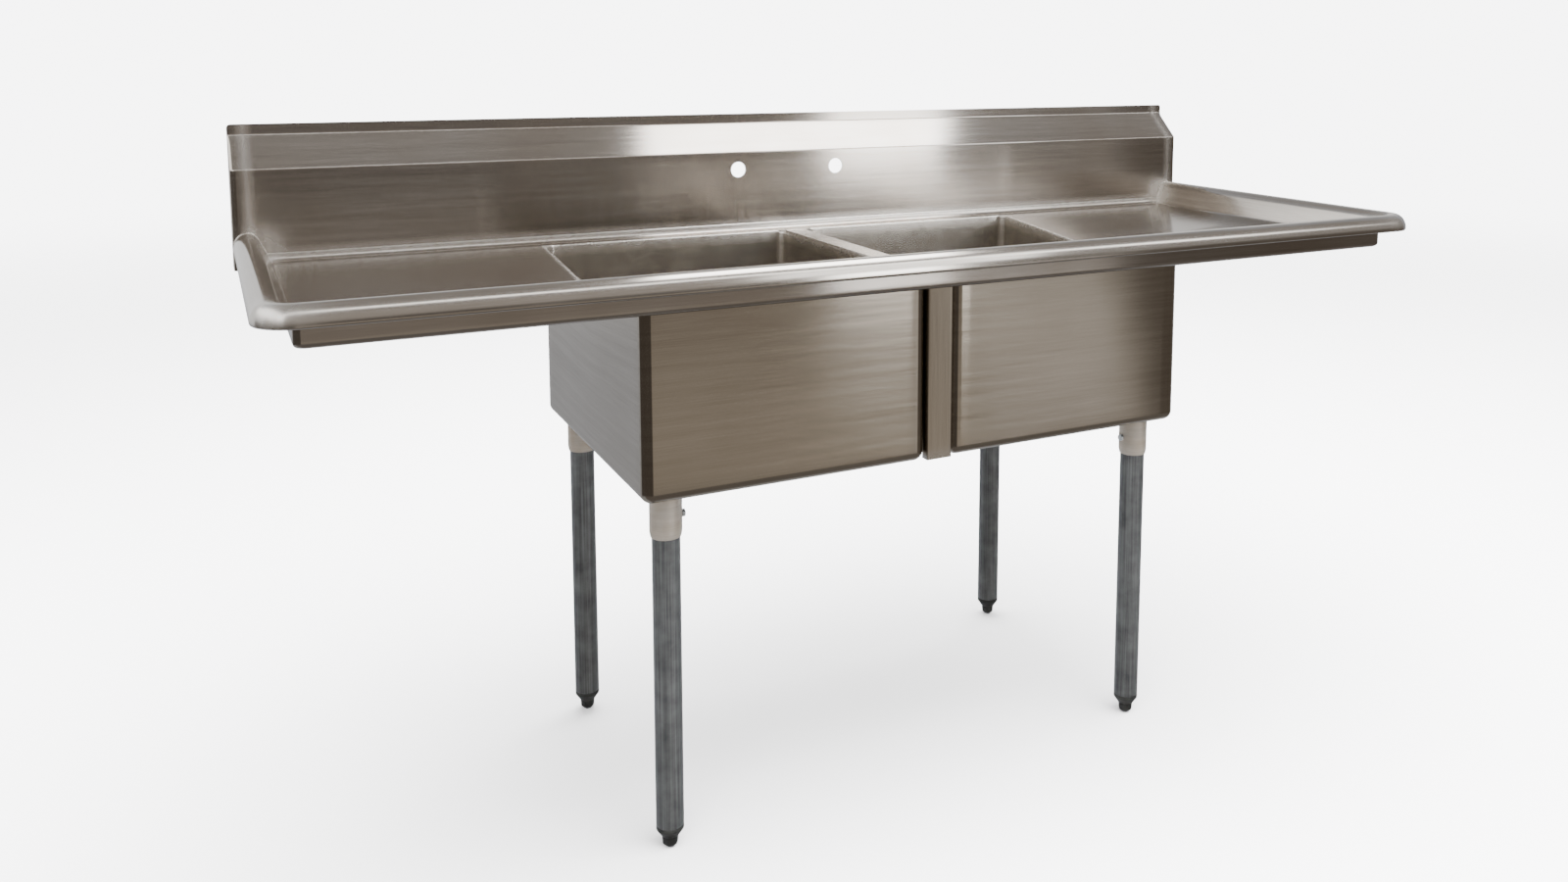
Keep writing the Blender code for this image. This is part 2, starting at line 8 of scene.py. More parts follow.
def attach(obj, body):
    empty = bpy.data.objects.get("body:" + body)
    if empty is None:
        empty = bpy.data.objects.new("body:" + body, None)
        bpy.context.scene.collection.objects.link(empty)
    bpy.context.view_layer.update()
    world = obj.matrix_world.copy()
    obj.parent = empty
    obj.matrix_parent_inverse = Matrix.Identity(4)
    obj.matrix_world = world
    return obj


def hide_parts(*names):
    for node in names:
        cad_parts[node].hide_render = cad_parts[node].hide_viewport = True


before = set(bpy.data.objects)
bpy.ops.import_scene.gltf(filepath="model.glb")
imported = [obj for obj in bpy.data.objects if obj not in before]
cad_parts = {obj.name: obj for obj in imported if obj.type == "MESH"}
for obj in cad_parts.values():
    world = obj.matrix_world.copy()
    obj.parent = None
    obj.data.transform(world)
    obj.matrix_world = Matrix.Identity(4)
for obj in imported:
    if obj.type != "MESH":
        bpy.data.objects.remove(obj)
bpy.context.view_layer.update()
print("frame loaded")

# Places shared by the deck pieces, in metres, the same as the frame's
deck = {
    "length": 1.915,
    "depth": 0.719,
    "height": 0.838,
    "sheet": 0.0015,
    "dish": 0.025,  # how far a drainboard's fold dips at the bowl
    "boardOut": 0.8975,
    "boardIn": 0.4741,
    "boardFront": -0.2995,
    "boardBack": 0.2740,
    "bowlFront": -0.2715,
    "bowlBack": 0.2755,
    "bowlIn": 0.022,
    "bowlOut": 0.4756,
    "face": 0.3027,  # front of the backsplash
}
sheet = deck["sheet"]
deckTop = deck["height"]
sides = {"left": -1, "right": 1}
ends = {"front": -0.2185, "rear": 0.2365}  # leg rows
legX = 0.427


# Outlines and grids


# Each corner of a line is swapped for an arc that touches both its runs. The arc starts radius /
# tan(half the corner's angle) from the corner, and its centre is radius / sin(half the angle) away on
# the bisector.
def rounded(points, radii, steps=6):
    points = np.asarray(points, float)
    made = [points[:1]]
    for before, corner, after, radius in zip(points, points[1:], points[2:], radii):
        back = (before - corner) / np.linalg.norm(before - corner)
        ahead = (after - corner) / np.linalg.norm(after - corner)
        half = math.acos(np.clip(back @ ahead, -1, 1)) / 2
        if radius == 0:
            made.append(corner[None])
            continue
        reach = radius / math.tan(half)
        middle = corner + (back + ahead) / np.linalg.norm(back + ahead) * radius / math.sin(half)
        start = corner + back * reach - middle
        end = corner + ahead * reach - middle
        share = np.linspace(0, 1, steps + 1)[:, None]
        turn = math.pi - 2 * half
        arc = (np.sin((1 - share) * turn) * start + np.sin(share * turn) * end) / math.sin(turn)
        made.append(middle + arc)
    made.append(points[-1:])
    return np.vstack(made)


# The line with points added so that no run is longer than the step
def spaced(line, step):
    runs = [
        a + (b - a) * np.linspace(
            0, 1, max(int(np.ceil(np.linalg.norm(b - a) / step)), 1), endpoint=False,
        )[:, None]
        for a, b in zip(line, line[1:])
    ]
    return np.vstack([*runs, line[-1:]])


# The line moved to its right-hand side by a distance, along the normal to the run between its
# neighbours.
def offset(line, distance):
    run = np.gradient(line, axis=0)
    run /= np.linalg.norm(run, axis=1, keepdims=True)
    return line + distance * np.column_stack([run[:, 1], -run[:, 0]])


# Distance from the line's start to each of its points
def along(line):
    return np.concatenate([[0], np.cumsum(np.linalg.norm(np.diff(line, axis=0), axis=1))])


# 1 between low and high, 0 outside, with a smooth step, t^2 (3 - 2t), as wide as the feather at each
# end.
def window(value, low, high, feather):
    rise = np.clip((value - low) / feather + 0.5, 0, 1)
    fall = np.clip((high - value) / feather + 0.5, 0, 1)
    return rise * rise * (3 - 2 * rise) * fall * fall * (3 - 2 * fall)


# Row and column numbers of the four corners of each cell of a grid, before any wrap is taken off.
def quads(rows, columns, wrapRows=False, wrapColumns=False):
    i = np.arange(rows if wrapRows else rows - 1)
    j = np.arange(columns if wrapColumns else columns - 1)
    i, j = (a.ravel() for a in np.meshgrid(i, j, indexing="ij"))
    return np.stack([i, i, i + 1, i + 1], 1), np.stack([j, j + 1, j + 1, j], 1)


# A mesh from points and rows of four corner numbers, where a repeated number makes a triangle, with
# one UV pair for each corner. The faces are turned round if the volume they enclose comes out
# negative.
def putMesh(name, points, faces, uv, finish, body, nodes, ground=None, sharp=40):
    points = np.asarray(points, float).reshape(-1, 3)
    a, b, c, d = np.moveaxis(points[faces], 1, 0)
    volume = (a * (np.cross(b, c) + np.cross(c, d))).sum()
    if volume < 0:
        faces, uv = faces[:, ::-1], uv[:, ::-1]
    triangle = faces == np.roll(faces, 1, axis=1)
    keep = ~triangle
    counts = keep.sum(1)
    mesh = bpy.data.meshes.new(name)
    mesh.vertices.add(len(points))
    mesh.vertices.foreach_set("co", points.astype(np.float32).ravel())
    mesh.loops.add(int(counts.sum()))
    mesh.loops.foreach_set("vertex_index", faces[keep].astype(np.int32))
    mesh.polygons.add(len(faces))
    mesh.polygons.foreach_set("loop_start", np.concatenate([[0], np.cumsum(counts)[:-1]]).astype(np.int32))
    layer = mesh.uv_layers.new(name="UVMap")
    layer.data.foreach_set("uv", uv[keep].astype(np.float32).ravel())
    if ground is not None:
        attribute = mesh.attributes.new("ground", "FLOAT", "POINT")
        attribute.data.foreach_set("value", np.asarray(ground, np.float32).ravel())
    mesh.update(calc_edges=True)
    mesh.validate()
    mesh.shade_smooth()
    mesh.set_sharp_from_angle(angle=math.radians(sharp))
    mesh.materials.append(finish)
    piece = bpy.data.objects.new(name, mesh)
    bpy.context.scene.collection.objects.link(piece)
    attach(piece, body)
    if nodes:
        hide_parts(*nodes)
    return piece


# A closed sheet: two grids of the same shape, (rows, columns, 3), joined along their open edges by
# one row of faces. With wrap the last column meets the first, and uv has one column more than the
# grids.
def sheetPiece(name, front, back, uv, finish, nodes, body="sink", wrap=False, ground=None, sharp=40):
    rows, columns = front.shape[:2]
    i, j = quads(rows, columns, wrapColumns=wrap)
    number = i * columns + j % columns
    size = rows * columns
    faces = [number, number[:, ::-1] + size]
    corner = uv[i, j]
    uvs = [corner, corner[:, ::-1]]

    def rimFaces(i, j):
        a = i * columns + j % columns
        faces.append(np.stack([a[1:], a[:-1], a[:-1] + size, a[1:] + size], 1))
        pair = uv[i, j]
        uvs.append(np.stack([pair[1:], pair[:-1], pair[:-1], pair[1:]], 1))

    across = np.arange(columns + (1 if wrap else 0))
    down = np.arange(rows)
    rimFaces(np.zeros_like(across), across)
    rimFaces(np.full_like(across, rows - 1)[::-1], across[::-1])
    if not wrap:
        rimFaces(down[::-1], np.zeros_like(down))
        rimFaces(down, np.full_like(down, columns - 1))
    points = np.concatenate([front.reshape(-1, 3), back.reshape(-1, 3)])
    if ground is not None:
        ground = np.broadcast_to(ground, (2, rows, columns))
    return putMesh(
        name, points, np.concatenate(faces), np.concatenate(uvs), finish, body, nodes, ground, sharp
    )


# A closed line of (radius, height) turned about an upright axis: x = radius cos(angle), y = radius
# sin(angle), z = height. shape(angle, radius, height) may scale the radius, and ends that lie on the
# axis become poles.
def turnedPiece(
    name, outline, centre, finish, nodes, body="sink", steps=96, shape=None, sharp=40,
    ground=None,
):
    outline = np.asarray(outline, float)
    turn = np.linspace(0, 2 * math.pi, steps, endpoint=False)
    radius = np.repeat(outline[:, :1], steps, 1)
    if shape is not None:
        radius = radius * shape(turn[None], outline[:, 0:1], outline[:, 1:2])
    poles = outline[0, 0] == 0
    points = np.stack(
        [radius * np.cos(turn), radius * np.sin(turn), np.repeat(outline[:, 1:], steps, 1)], -1,
    )
    i, j = quads(len(outline), steps, wrapRows=not poles, wrapColumns=True)
    number = (i % len(outline)) * steps + j % steps
    if poles:
        points = points.reshape(-1, 3)
        number = np.where(number < steps, 0, number)
        last = (len(outline) - 1) * steps
        number = np.where(number >= last, last, number)
        first = number[:, 0] == number[:, 1]
        number[first] = number[first][:, [2, 3, 0, 0]]
        end = number[:, 2] == number[:, 3]
        number[end] = number[end][:, [0, 1, 2, 2]]
        kept, fresh = np.unique(number, return_inverse=True)
        points, number = points[kept], fresh.reshape(-1, 4)
    lengths = along(np.vstack([outline, outline[:1]]))
    mean = outline[:, 0].max()
    uv = np.stack([j * 2 * math.pi / steps * mean, lengths[i]], -1)
    if poles:
        uv[first] = uv[first][:, [2, 3, 0, 0]]
        uv[end] = uv[end][:, [0, 1, 2, 2]]
    return putMesh(
        name, points.reshape(-1, 3) + centre, number, uv, finish, body, nodes, ground, sharp,
    )


# Finishes


# An sRGB hex colour as linear red, green, blue and alpha
def fromHex(code):
    part = np.array([int(code[i : i + 2], 16) for i in (1, 3, 5)]) / 255
    linear = np.where(part <= 0.04045, part / 12.92, ((part + 0.055) / 1.055) ** 2.4)
    return (*linear.tolist(), 1.0)


# A node with its settings, and each input given as a value or as the output that feeds it
def addNode(tree, kind, inputs=(), **settings):
    node = tree.nodes.new(kind)
    for key, value in settings.items():
        setattr(node, key, value)
    for key, value in dict(inputs).items():
        if isinstance(value, bpy.types.NodeSocket):
            tree.links.new(value, node.inputs[key])
        else:
            node.inputs[key].default_value = value
    return node


# An empty material with its shader wired to its output
def newFinish(name):
    made = bpy.data.materials.new(name)
    made.use_nodes = True
    tree = made.node_tree
    tree.nodes.clear()
    shader = addNode(tree, "ShaderNodeBsdfPrincipled")
    addNode(tree, "ShaderNodeOutputMaterial", {"Surface": shader.outputs[0]})
    return made, tree, shader


# Stainless sheet, 304, sent from the mill with a belt-brushed face. The grain runs along the sheet,
# so a reflection is smeared across the grain and stays sharper along it. Belt lines are near 0.1 mm
# apart, which is too fine to show, so they are drawn 0.9 mm apart.
def brushedSteel(name, look):
    made, tree, shader = newFinish(name)
    place = addNode(tree, "ShaderNodeTexCoord")
    flow = addNode(
        tree,
        "ShaderNodeMapping",
        {"Vector": place.outputs["UV"], "Scale": (1 / look["grainLength"], 1 / look["grainPitch"], 1)},
    )
    grain = addNode(tree, "ShaderNodeTexNoise", {"Vector": flow.outputs[0], "Scale": 1.0, "Detail": 4.0})
    bandFlow = addNode(
        tree,
        "ShaderNodeMapping",
        {"Vector": place.outputs["UV"], "Scale": (1 / look["bandLength"], 1 / look["bandPitch"], 1)},
    )
    band = addNode(tree, "ShaderNodeTexNoise", {"Vector": bandFlow.outputs[0], "Scale": 1.0, "Detail": 2.0})
    cloud = addNode(
        tree,
        "ShaderNodeTexNoise",
        {"Vector": place.outputs["Object"], "Scale": 1 / look["cloudSize"], "Detail": 3.0},
    )
    mark = addNode(tree, "ShaderNodeAttribute", attribute_name="ground")
    streak = addNode(
        tree,
        "ShaderNodeMix",
        {"Factor": 0.45, "A": grain.outputs[0], "B": band.outputs[0]},
    )
    shade = addNode(
        tree,
        "ShaderNodeMapRange",
        {"Value": streak.outputs[0], "From Min": 0.3, "From Max": 0.7, "To Min": 0.0, "To Max": 1.0},
    )
    tint = addNode(
        tree,
        "ShaderNodeMix",
        {"Factor": shade.outputs[0], "A": fromHex(look["dark"]), "B": fromHex(look["light"])},
        data_type="RGBA",
    )
    handled = addNode(
        tree,
        "ShaderNodeMapRange",
        {
            "Value": cloud.outputs[0], "From Min": 0.35, "From Max": 0.68, "To Min": 0.0,
            "To Max": look["handled"],
        },
    )
    dulled = addNode(
        tree,
        "ShaderNodeMix",
        {"Factor": handled.outputs[0], "A": tint.outputs[2], "B": fromHex(look["dull"])},
        data_type="RGBA",
    )
    cleaned = addNode(
        tree,
        "ShaderNodeMix",
        {"Factor": mark.outputs["Fac"], "A": dulled.outputs[2], "B": fromHex(look["ground"])},
        data_type="RGBA",
    )
    rough = addNode(
        tree,
        "ShaderNodeMapRange",
        {
            "Value": streak.outputs[0],
            "From Min": 0.25,
            "From Max": 0.75,
            "To Min": look["roughness"] - look["roughSpread"],
            "To Max": look["roughness"] + look["roughSpread"],
        },
    )
    smear = addNode(
        tree,
        "ShaderNodeMath",
        {0: handled.outputs[0], 1: look["smear"], 2: rough.outputs[0]},
        operation="MULTIPLY_ADD",
    )
    swirl = addNode(
        tree,
        "ShaderNodeTexNoise",
        {
            "Vector": place.outputs["Object"], "Scale": 1 / look["swirlSize"], "Detail": 2.0,
            "Distortion": 0.8,
        },
    )
    groundRough = addNode(
        tree,
        "ShaderNodeMapRange",
        {
            "Value": swirl.outputs[0], "From Min": 0.3, "From Max": 0.7, "To Min": look["groundLow"],
            "To Max": look["groundHigh"],
        },
    )
    roughness = addNode(
        tree,
        "ShaderNodeMix",
        {"Factor": mark.outputs["Fac"], "A": smear.outputs[0], "B": groundRough.outputs[0]},
    )
    # a rolled sheet is never quite flat, so its reflections wander
    wave = addNode(
        tree,
        "ShaderNodeTexNoise",
        {"Vector": place.outputs["Object"], "Scale": 1 / look["waveSize"], "Detail": 1.0},
    )
    buckle = addNode(
        tree, "ShaderNodeBump", {"Strength": 1.0, "Distance": look["waveDepth"], "Height": wave.outputs[0]}
    )
    scratch = addNode(
        tree,
        "ShaderNodeBump",
        {
            "Strength": look["grainStrength"],
            "Distance": look["grainDepth"],
            "Height": grain.outputs[0],
            "Normal": buckle.outputs[0],
        },
    )
    lines = addNode(tree, "ShaderNodeTangent", direction_type="UV_MAP", uv_map="UVMap")
    for socket, value in {
        "Base Color": cleaned.outputs[2],
        "Roughness": roughness.outputs[0],
        "Normal": scratch.outputs[0],
        "Tangent": lines.outputs[0],
    }.items():
        tree.links.new(value, shader.inputs[socket])
    shader.inputs["Metallic"].default_value = look["metallic"]
    shader.inputs["Anisotropic"].default_value = look["anisotropy"]
    shader.inputs["Anisotropic Rotation"].default_value = 0.25
    return made


sheetLook = {
    "dark": "#aea8a1",
    "light": "#c9c4be",
    "dull": "#a3988b",
    "ground": "#dcd8d2",
    "grainLength": 0.080,
    "grainPitch": 0.0009,  # drawn coarser than the belt's 0.1 mm
    "bandLength": 0.45,
    "bandPitch": 0.012,
    "cloudSize": 0.22,
    "handled": 0.45,  # share of the dull tint in the cloudiest parts
    "roughness": 0.135,
    "roughSpread": 0.02,
    "smear": 0.02,  # roughness that handling adds
    "groundLow": 0.27,  # roughness where welds were ground
    "groundHigh": 0.33,
    "swirlSize": 0.03,
    "waveSize": 0.30,
    "waveDepth": 0.0007,
    "grainStrength": 0.10,
    "grainDepth": 0.00006,
    "anisotropy": 1.0,
    "metallic": 1.0,
}
sheetSteel = brushedSteel("brushed 304 stainless sheet", sheetLook)

# The same sheet bent into a bowl: warmer in tint and less clouded by handling. The ground mark makes
# its inside satin, so reflections there are soft all round.
bowlLook = {
    **sheetLook,
    "dark": "#aca498",
    "light": "#c6bfb4",
    "dull": "#a39a8c",
    "handled": 0.3,
    "roughness": 0.12,
    "waveSize": 0.24,
    "anisotropy": 0.9,
}
bowlSteel = brushedSteel("brushed 304 stainless bowl", bowlLook)

# The same sheet rolled into a rim and ground at its joins: paler, with highlights a little softer
# along the grain.
rimLook = {
    **sheetLook,
    "dark": "#b4aea6",
    "light": "#d6d1ca",
    "roughness": 0.14,
    "handled": 0.25,
    "waveDepth": 0.0003,
    "anisotropy": 0.85,
}
rimSteel = brushedSteel("ground 304 stainless rim", rimLook)

# Stainless tube for the sockets: a dull mill finish that hardly mirrors, straw-coloured where the
# weld heat reached it.
socketLook = {
    **sheetLook,
    "dark": "#a9a196",
    "light": "#cdc7be",
    "dull": "#a8947b",
    "cloudSize": 0.03,
    "handled": 0.35,
    "roughness": 0.42,
    "metallic": 0.88,
    "waveSize": 0.05,
    "waveDepth": 0.0003,
    "anisotropy": 0.2,
}
socketSteel = brushedSteel("welded 304 stainless socket", socketLook)

# Drain fittings: drawn stainless, buffed bright, with fine water marks that dull it in small clouds.
polishedLook = {
    **sheetLook,
    "dark": "#bdb9b3",
    "light": "#e0ddd8",
    "dull": "#a9a49c",
    "cloudSize": 0.02,
    "handled": 0.25,
    "roughness": 0.14,
    "roughSpread": 0.03,
    "waveSize": 0.05,
    "waveDepth": 0.0002,
    "grainStrength": 0.08,
    "anisotropy": 0.3,
}
polishedSteel = brushedSteel("buffed 304 stainless fitting", polishedLook)


# Galvanised steel tube, hot dipped: matt blue-grey zinc with long drawing marks and faint darker
# runs.
def zincFinish(name, look):
    made, tree, shader = newFinish(name)
    place = addNode(tree, "ShaderNodeTexCoord")
    flow = addNode(
        tree,
        "ShaderNodeMapping",
        {
            "Vector": place.outputs["Object"],
            "Scale": (1 / look["markWidth"], 1 / look["markWidth"], 1 / look["markLength"]),
        },
    )
    marks = addNode(tree, "ShaderNodeTexNoise", {"Vector": flow.outputs[0], "Scale": 1.0, "Detail": 5.0})
    bloom = addNode(
        tree,
        "ShaderNodeTexNoise",
        {
            "Vector": place.outputs["Object"], "Scale": 1 / look["bloomSize"], "Detail": 4.0,
            "Roughness": 0.6,
        },
    )
    mixed = addNode(tree, "ShaderNodeMix", {"Factor": 0.4, "A": marks.outputs[0], "B": bloom.outputs[0]})
    spread = addNode(
        tree, "ShaderNodeMapRange", {"Value": mixed.outputs[0], "From Min": 0.35, "From Max": 0.65},
    )
    tint = addNode(
        tree,
        "ShaderNodeMix",
        {"Factor": spread.outputs[0], "A": fromHex(look["dark"]), "B": fromHex(look["light"])},
        data_type="RGBA",
    )
    rough = addNode(
        tree,
        "ShaderNodeMapRange",
        {"Value": bloom.outputs[0], "From Min": 0.3, "From Max": 0.7, "To Min": look["roughness"] - 0.07,
         "To Max": look["roughness"] + 0.08},
    )
    bump = addNode(
        tree, "ShaderNodeBump", {"Strength": 0.3, "Distance": 0.00015, "Height": marks.outputs[0]}
    )
    tree.links.new(tint.outputs[2], shader.inputs["Base Color"])
    tree.links.new(rough.outputs[0], shader.inputs["Roughness"])
    tree.links.new(bump.outputs[0], shader.inputs["Normal"])
    shader.inputs["Metallic"].default_value = 0.85
    return made


zincLook = {
    "dark": "#4e5051",
    "light": "#757778",
    "markWidth": 0.0022,
    "markLength": 0.16,
    "bloomSize": 0.03,
    "roughness": 0.42,
}
zincSteel = zincFinish("galvanised steel tube", zincLook)
screwZinc = zincFinish(
    "zinc-plated screw", {**zincLook, "dark": "#8e9397", "light": "#c3c7c9", "roughness": 0.3},
)


# Moulded plastic or rubber: a soft sheen over a fine moulded grain, greyed a little where dust has
# settled.
def mouldedFinish(name, look):
    made, tree, shader = newFinish(name)
    place = addNode(tree, "ShaderNodeTexCoord")
    grit = addNode(
        tree,
        "ShaderNodeTexNoise",
        {"Vector": place.outputs["Object"], "Scale": 1 / look["grit"], "Detail": 3.0},
    )
    dust = addNode(
        tree,
        "ShaderNodeTexNoise",
        {"Vector": place.outputs["Object"], "Scale": 1 / look["dustSize"], "Detail": 4.0},
    )
    settled = addNode(
        tree,
        "ShaderNodeMapRange",
        {
            "Value": dust.outputs[0], "From Min": 0.45, "From Max": 0.75, "To Min": 0.0,
            "To Max": look["dusty"],
        },
    )
    tint = addNode(
        tree,
        "ShaderNodeMix",
        {"Factor": settled.outputs[0], "A": fromHex(look["colour"]), "B": fromHex(look["dust"])},
        data_type="RGBA",
    )
    rough = addNode(
        tree,
        "ShaderNodeMapRange",
        {"Value": grit.outputs[0], "To Min": look["roughness"] - 0.06, "To Max": look["roughness"] + 0.1},
    )
    bump = addNode(
        tree, "ShaderNodeBump", {"Strength": 0.35, "Distance": 0.0002, "Height": grit.outputs[0]},
    )
    tree.links.new(tint.outputs[2], shader.inputs["Base Color"])
    tree.links.new(rough.outputs[0], shader.inputs["Roughness"])
    tree.links.new(bump.outputs[0], shader.inputs["Normal"])
    return made


footPlastic = mouldedFinish(
    "moulded black polyamide",
    {
        "colour": "#121312", "dust": "#343431", "grit": 0.0012, "dustSize": 0.02, "dusty": 0.5,
        "roughness": 0.48,
    },
)
sealRubber = mouldedFinish(
    "moulded black rubber",
    {
        "colour": "#161616", "dust": "#3a3a38", "grit": 0.0016, "dustSize": 0.015, "dusty": 0.3,
        "roughness": 0.72,
    },
)
print("finishes made")


# Rolled rim: an elliptical arch with its free edge turned in, then a wall that leans down to the deck


rim = {
    "rise": 0.048,
    "width": 0.040,
    "arch": 0.025,
    "corner": 0.052,  # plan radius of the outer edge
    "tightCorner": 0.010,
    "archEnd": 150,  # degrees
    "wallFoot": 0.054,
    "flange": 0.006,
    "footBend": 0.004,
    "hem": 0.0035,  # radius of the turned-in free edge
}


# The U round the left end, the front and the right end, as (place along, inset, xy): straight runs
# that lie one inset inside the outer rectangle, joined by quarter circles whose radius is the
# corner's less the inset.
def rimPath(inset, straight=70, front=220, bend=32):
    inset = np.asarray(inset, float)
    radius = np.maximum(rim["corner"] - inset, rim["tightCorner"])
    reach = deck["length"] / 2 - inset - radius
    near = -deck["depth"] / 2 + inset + radius
    stop = deck["face"]
    run = np.linspace(0, 1, straight)[:, None]
    turn = np.linspace(0, math.pi / 2, bend + 2)[1:-1, None]
    cross = np.linspace(-1, 1, front)[:, None]
    leftEnd = np.stack([-(reach + radius) + 0 * run, stop + (near - stop) * run], -1)
    leftBend = np.stack([-reach - radius * np.cos(turn), near - radius * np.sin(turn)], -1)
    frontRun = np.stack([reach * cross, near - radius + 0 * cross], -1)
    rightBend = leftBend[::-1] * (-1, 1)
    rightEnd = leftEnd[::-1] * (-1, 1)
    return np.concatenate([leftEnd, leftBend, frontRun, rightBend, rightEnd])


# Each point (inset, height) of a section follows the path at its own inset; its UVs are metres along
# the path and metres along the section.
def aroundRim(section):
    path = rimPath(section[:, 0])
    grid = np.concatenate([path, np.broadcast_to(section[:, 1, None], (*path.shape[:2], 1))], -1)
    lengths = along(path[:, len(section) // 2])
    uv = np.stack(np.broadcast_arrays(lengths[:, None], along(section)[None]), -1)
    return grid, uv


half = rim["width"] / 2
archFoot = deckTop + rim["rise"] - rim["arch"]
angle = np.radians(np.linspace(180, 180 - rim["archEnd"], 36))
arch = np.column_stack([half + half * np.cos(angle), archFoot + rim["arch"] * np.sin(angle)])
hem = np.radians(np.linspace(-60, 0, 6, endpoint=False))
curl = np.column_stack([rim["hem"] * (1 - np.cos(hem)), archFoot + rim["hem"] * np.sin(hem)])
flangeInset = rim["wallFoot"] + rim["flange"]
wall = rounded(
    [arch[-1], (rim["wallFoot"], deckTop), (flangeInset, deckTop)], [rim["footBend"]], 8
)
rimSection = spaced(np.vstack([curl, arch[:-1], wall]), 0.005)
rimTop, rimUv = aroundRim(rimSection)
rimUnder, _ = aroundRim(offset(rimSection, sheet))


# A soft mark along a line: exp(-((value - place) / width)^2).
def nearLine(value, place, width):
    return np.exp(-(((value - place) / width) ** 2))


# polished where the corners were welded and where each end meets the backsplash
x, y = rimTop[..., 0], rimTop[..., 1]
cornerX = deck["length"] / 2 - 0.030
cornerY = -deck["depth"] / 2 + 0.030
cornerMark = np.exp(-(((np.abs(x) - cornerX) ** 2 + (y - cornerY) ** 2) / 0.045**2))
rimGround = np.clip(cornerMark + nearLine(y, deck["face"], 0.018), 0, 1)
sheetPiece(
    "rolledRim", rimTop, rimUnder, rimUv, rimSteel, ["rolled_rim"],
    ground=rimGround,
)


# Apron skirt: a folded strip that hangs from the outside of the leaning wall


apron = {"face": 0.0451, "top": 0.011, "bottom": 0.014, "bend": 0.008, "return": 0.020}
apronSection = rounded(
    [
        (apron["face"], deckTop + apron["top"]),
        (apron["face"], deckTop - apron["bottom"]),
        (apron["face"] + apron["return"], deckTop - apron["bottom"]),
    ],
    [apron["bend"]],
    10,
)
apronSection = spaced(apronSection, 0.004)
apronFace, apronUv = aroundRim(apronSection)
apronBack, _ = aroundRim(offset(apronSection, -sheet))
sheetPiece("apronSkirt", apronFace, apronBack, apronUv, sheetSteel, ["apron_skirt"])
print("rim and apron built")


# Backsplash: lip, slope and face, with two faucet holes and softly turned ends


splash = {
    "top": 1.056,
    "lip": 0.0173,
    "slopeDrop": 0.0522,
    "lipFront": 0.358,
    "foot": 0.826,
    "foldBend": 0.004,
    "endBend": 0.009,
    "lipCorner": 0.006,
    "holeRadius": 0.0145,
    "holeX": 0.1016,
    "holeZ": 0.954,
    "patch": 0.022,  # half the square that is laid out round each hole
    "patchCells": 10,
    "seam": 0.024,  # end plate's weld, from the end
}
wallY = deck["depth"] / 2


# The section (y, z) from the lip's top to under the deck: lip, 45 degree slope and upright face with
# rounded folds, with points on both edges of the square round a hole.
def splashProfile():
    folds = [
        (splash["lipFront"], splash["top"]),
        (splash["lipFront"], splash["top"] - splash["lip"]),
        (deck["face"], splash["top"] - splash["lip"] - splash["slopeDrop"]),
        (deck["face"], splash["foot"]),
    ]
    line = rounded(folds, [splash["foldBend"]] * 2, 8)[:-1]
    high, low = splash["holeZ"] + splash["patch"], splash["holeZ"] - splash["patch"]
    face = np.concatenate(
        [np.linspace(high, low, splash["patchCells"] + 1), np.linspace(low, splash["foot"], 12)[1:]]
    )
    upper = spaced(np.vstack([line, [(deck["face"], high)]]), 0.012)[:-1]
    return np.vstack([upper, np.column_stack([np.full(len(face), deck["face"]), face])]), len(upper)


# Places along the panel, close together at the ends and level with the squares round the holes
def splashStations():
    end = deck["length"] / 2
    near, far = splash["holeX"] - splash["patch"], splash["holeX"] + splash["patch"]
    right = np.concatenate(
        [
            np.linspace(0, near, 7)[:-1],
            np.linspace(near, far, splash["patchCells"] + 1),
            np.linspace(far, end - splash["endBend"], 60)[1:-1],
            end - splash["endBend"] + splash["endBend"] * np.sin(np.linspace(0, math.pi / 2, 10)),
        ]
    )
    return np.concatenate([-right[:0:-1], right])


# The profile (y, z) at each x. Within one bend of an end, y moves back by bend - sqrt(bend^2 -
# inward^2), less where the wall is near, and the lip's top falls along a quarter circle in the same
# way.
def splashSurface(x, line, depth):
    inward = np.clip(np.abs(x) - (deck["length"] / 2 - splash["endBend"]), 0, splash["endBend"])
    drop = splash["endBend"] - np.sqrt(np.maximum(splash["endBend"] ** 2 - inward**2, 0))
    room = np.minimum(splash["endBend"], (wallY - line[:, 0]) * 0.8) / splash["endBend"]
    y = line[:, 0] + drop[:, None] * room
    lipDrop = np.clip(np.abs(x) - (deck["length"] / 2 - splash["lipCorner"]), 0, splash["lipCorner"])
    fall = splash["lipCorner"] - np.sqrt(splash["lipCorner"] ** 2 - lipDrop**2)
    weight = np.clip((line[:, 1] - (splash["top"] - splash["lip"])) / splash["lip"], 0, 1)
    z = line[:, 1] - fall[:, None] * weight
    x = np.broadcast_to(x[:, None], y.shape)
    return np.stack([x, y, z], -1) + np.asarray(depth)


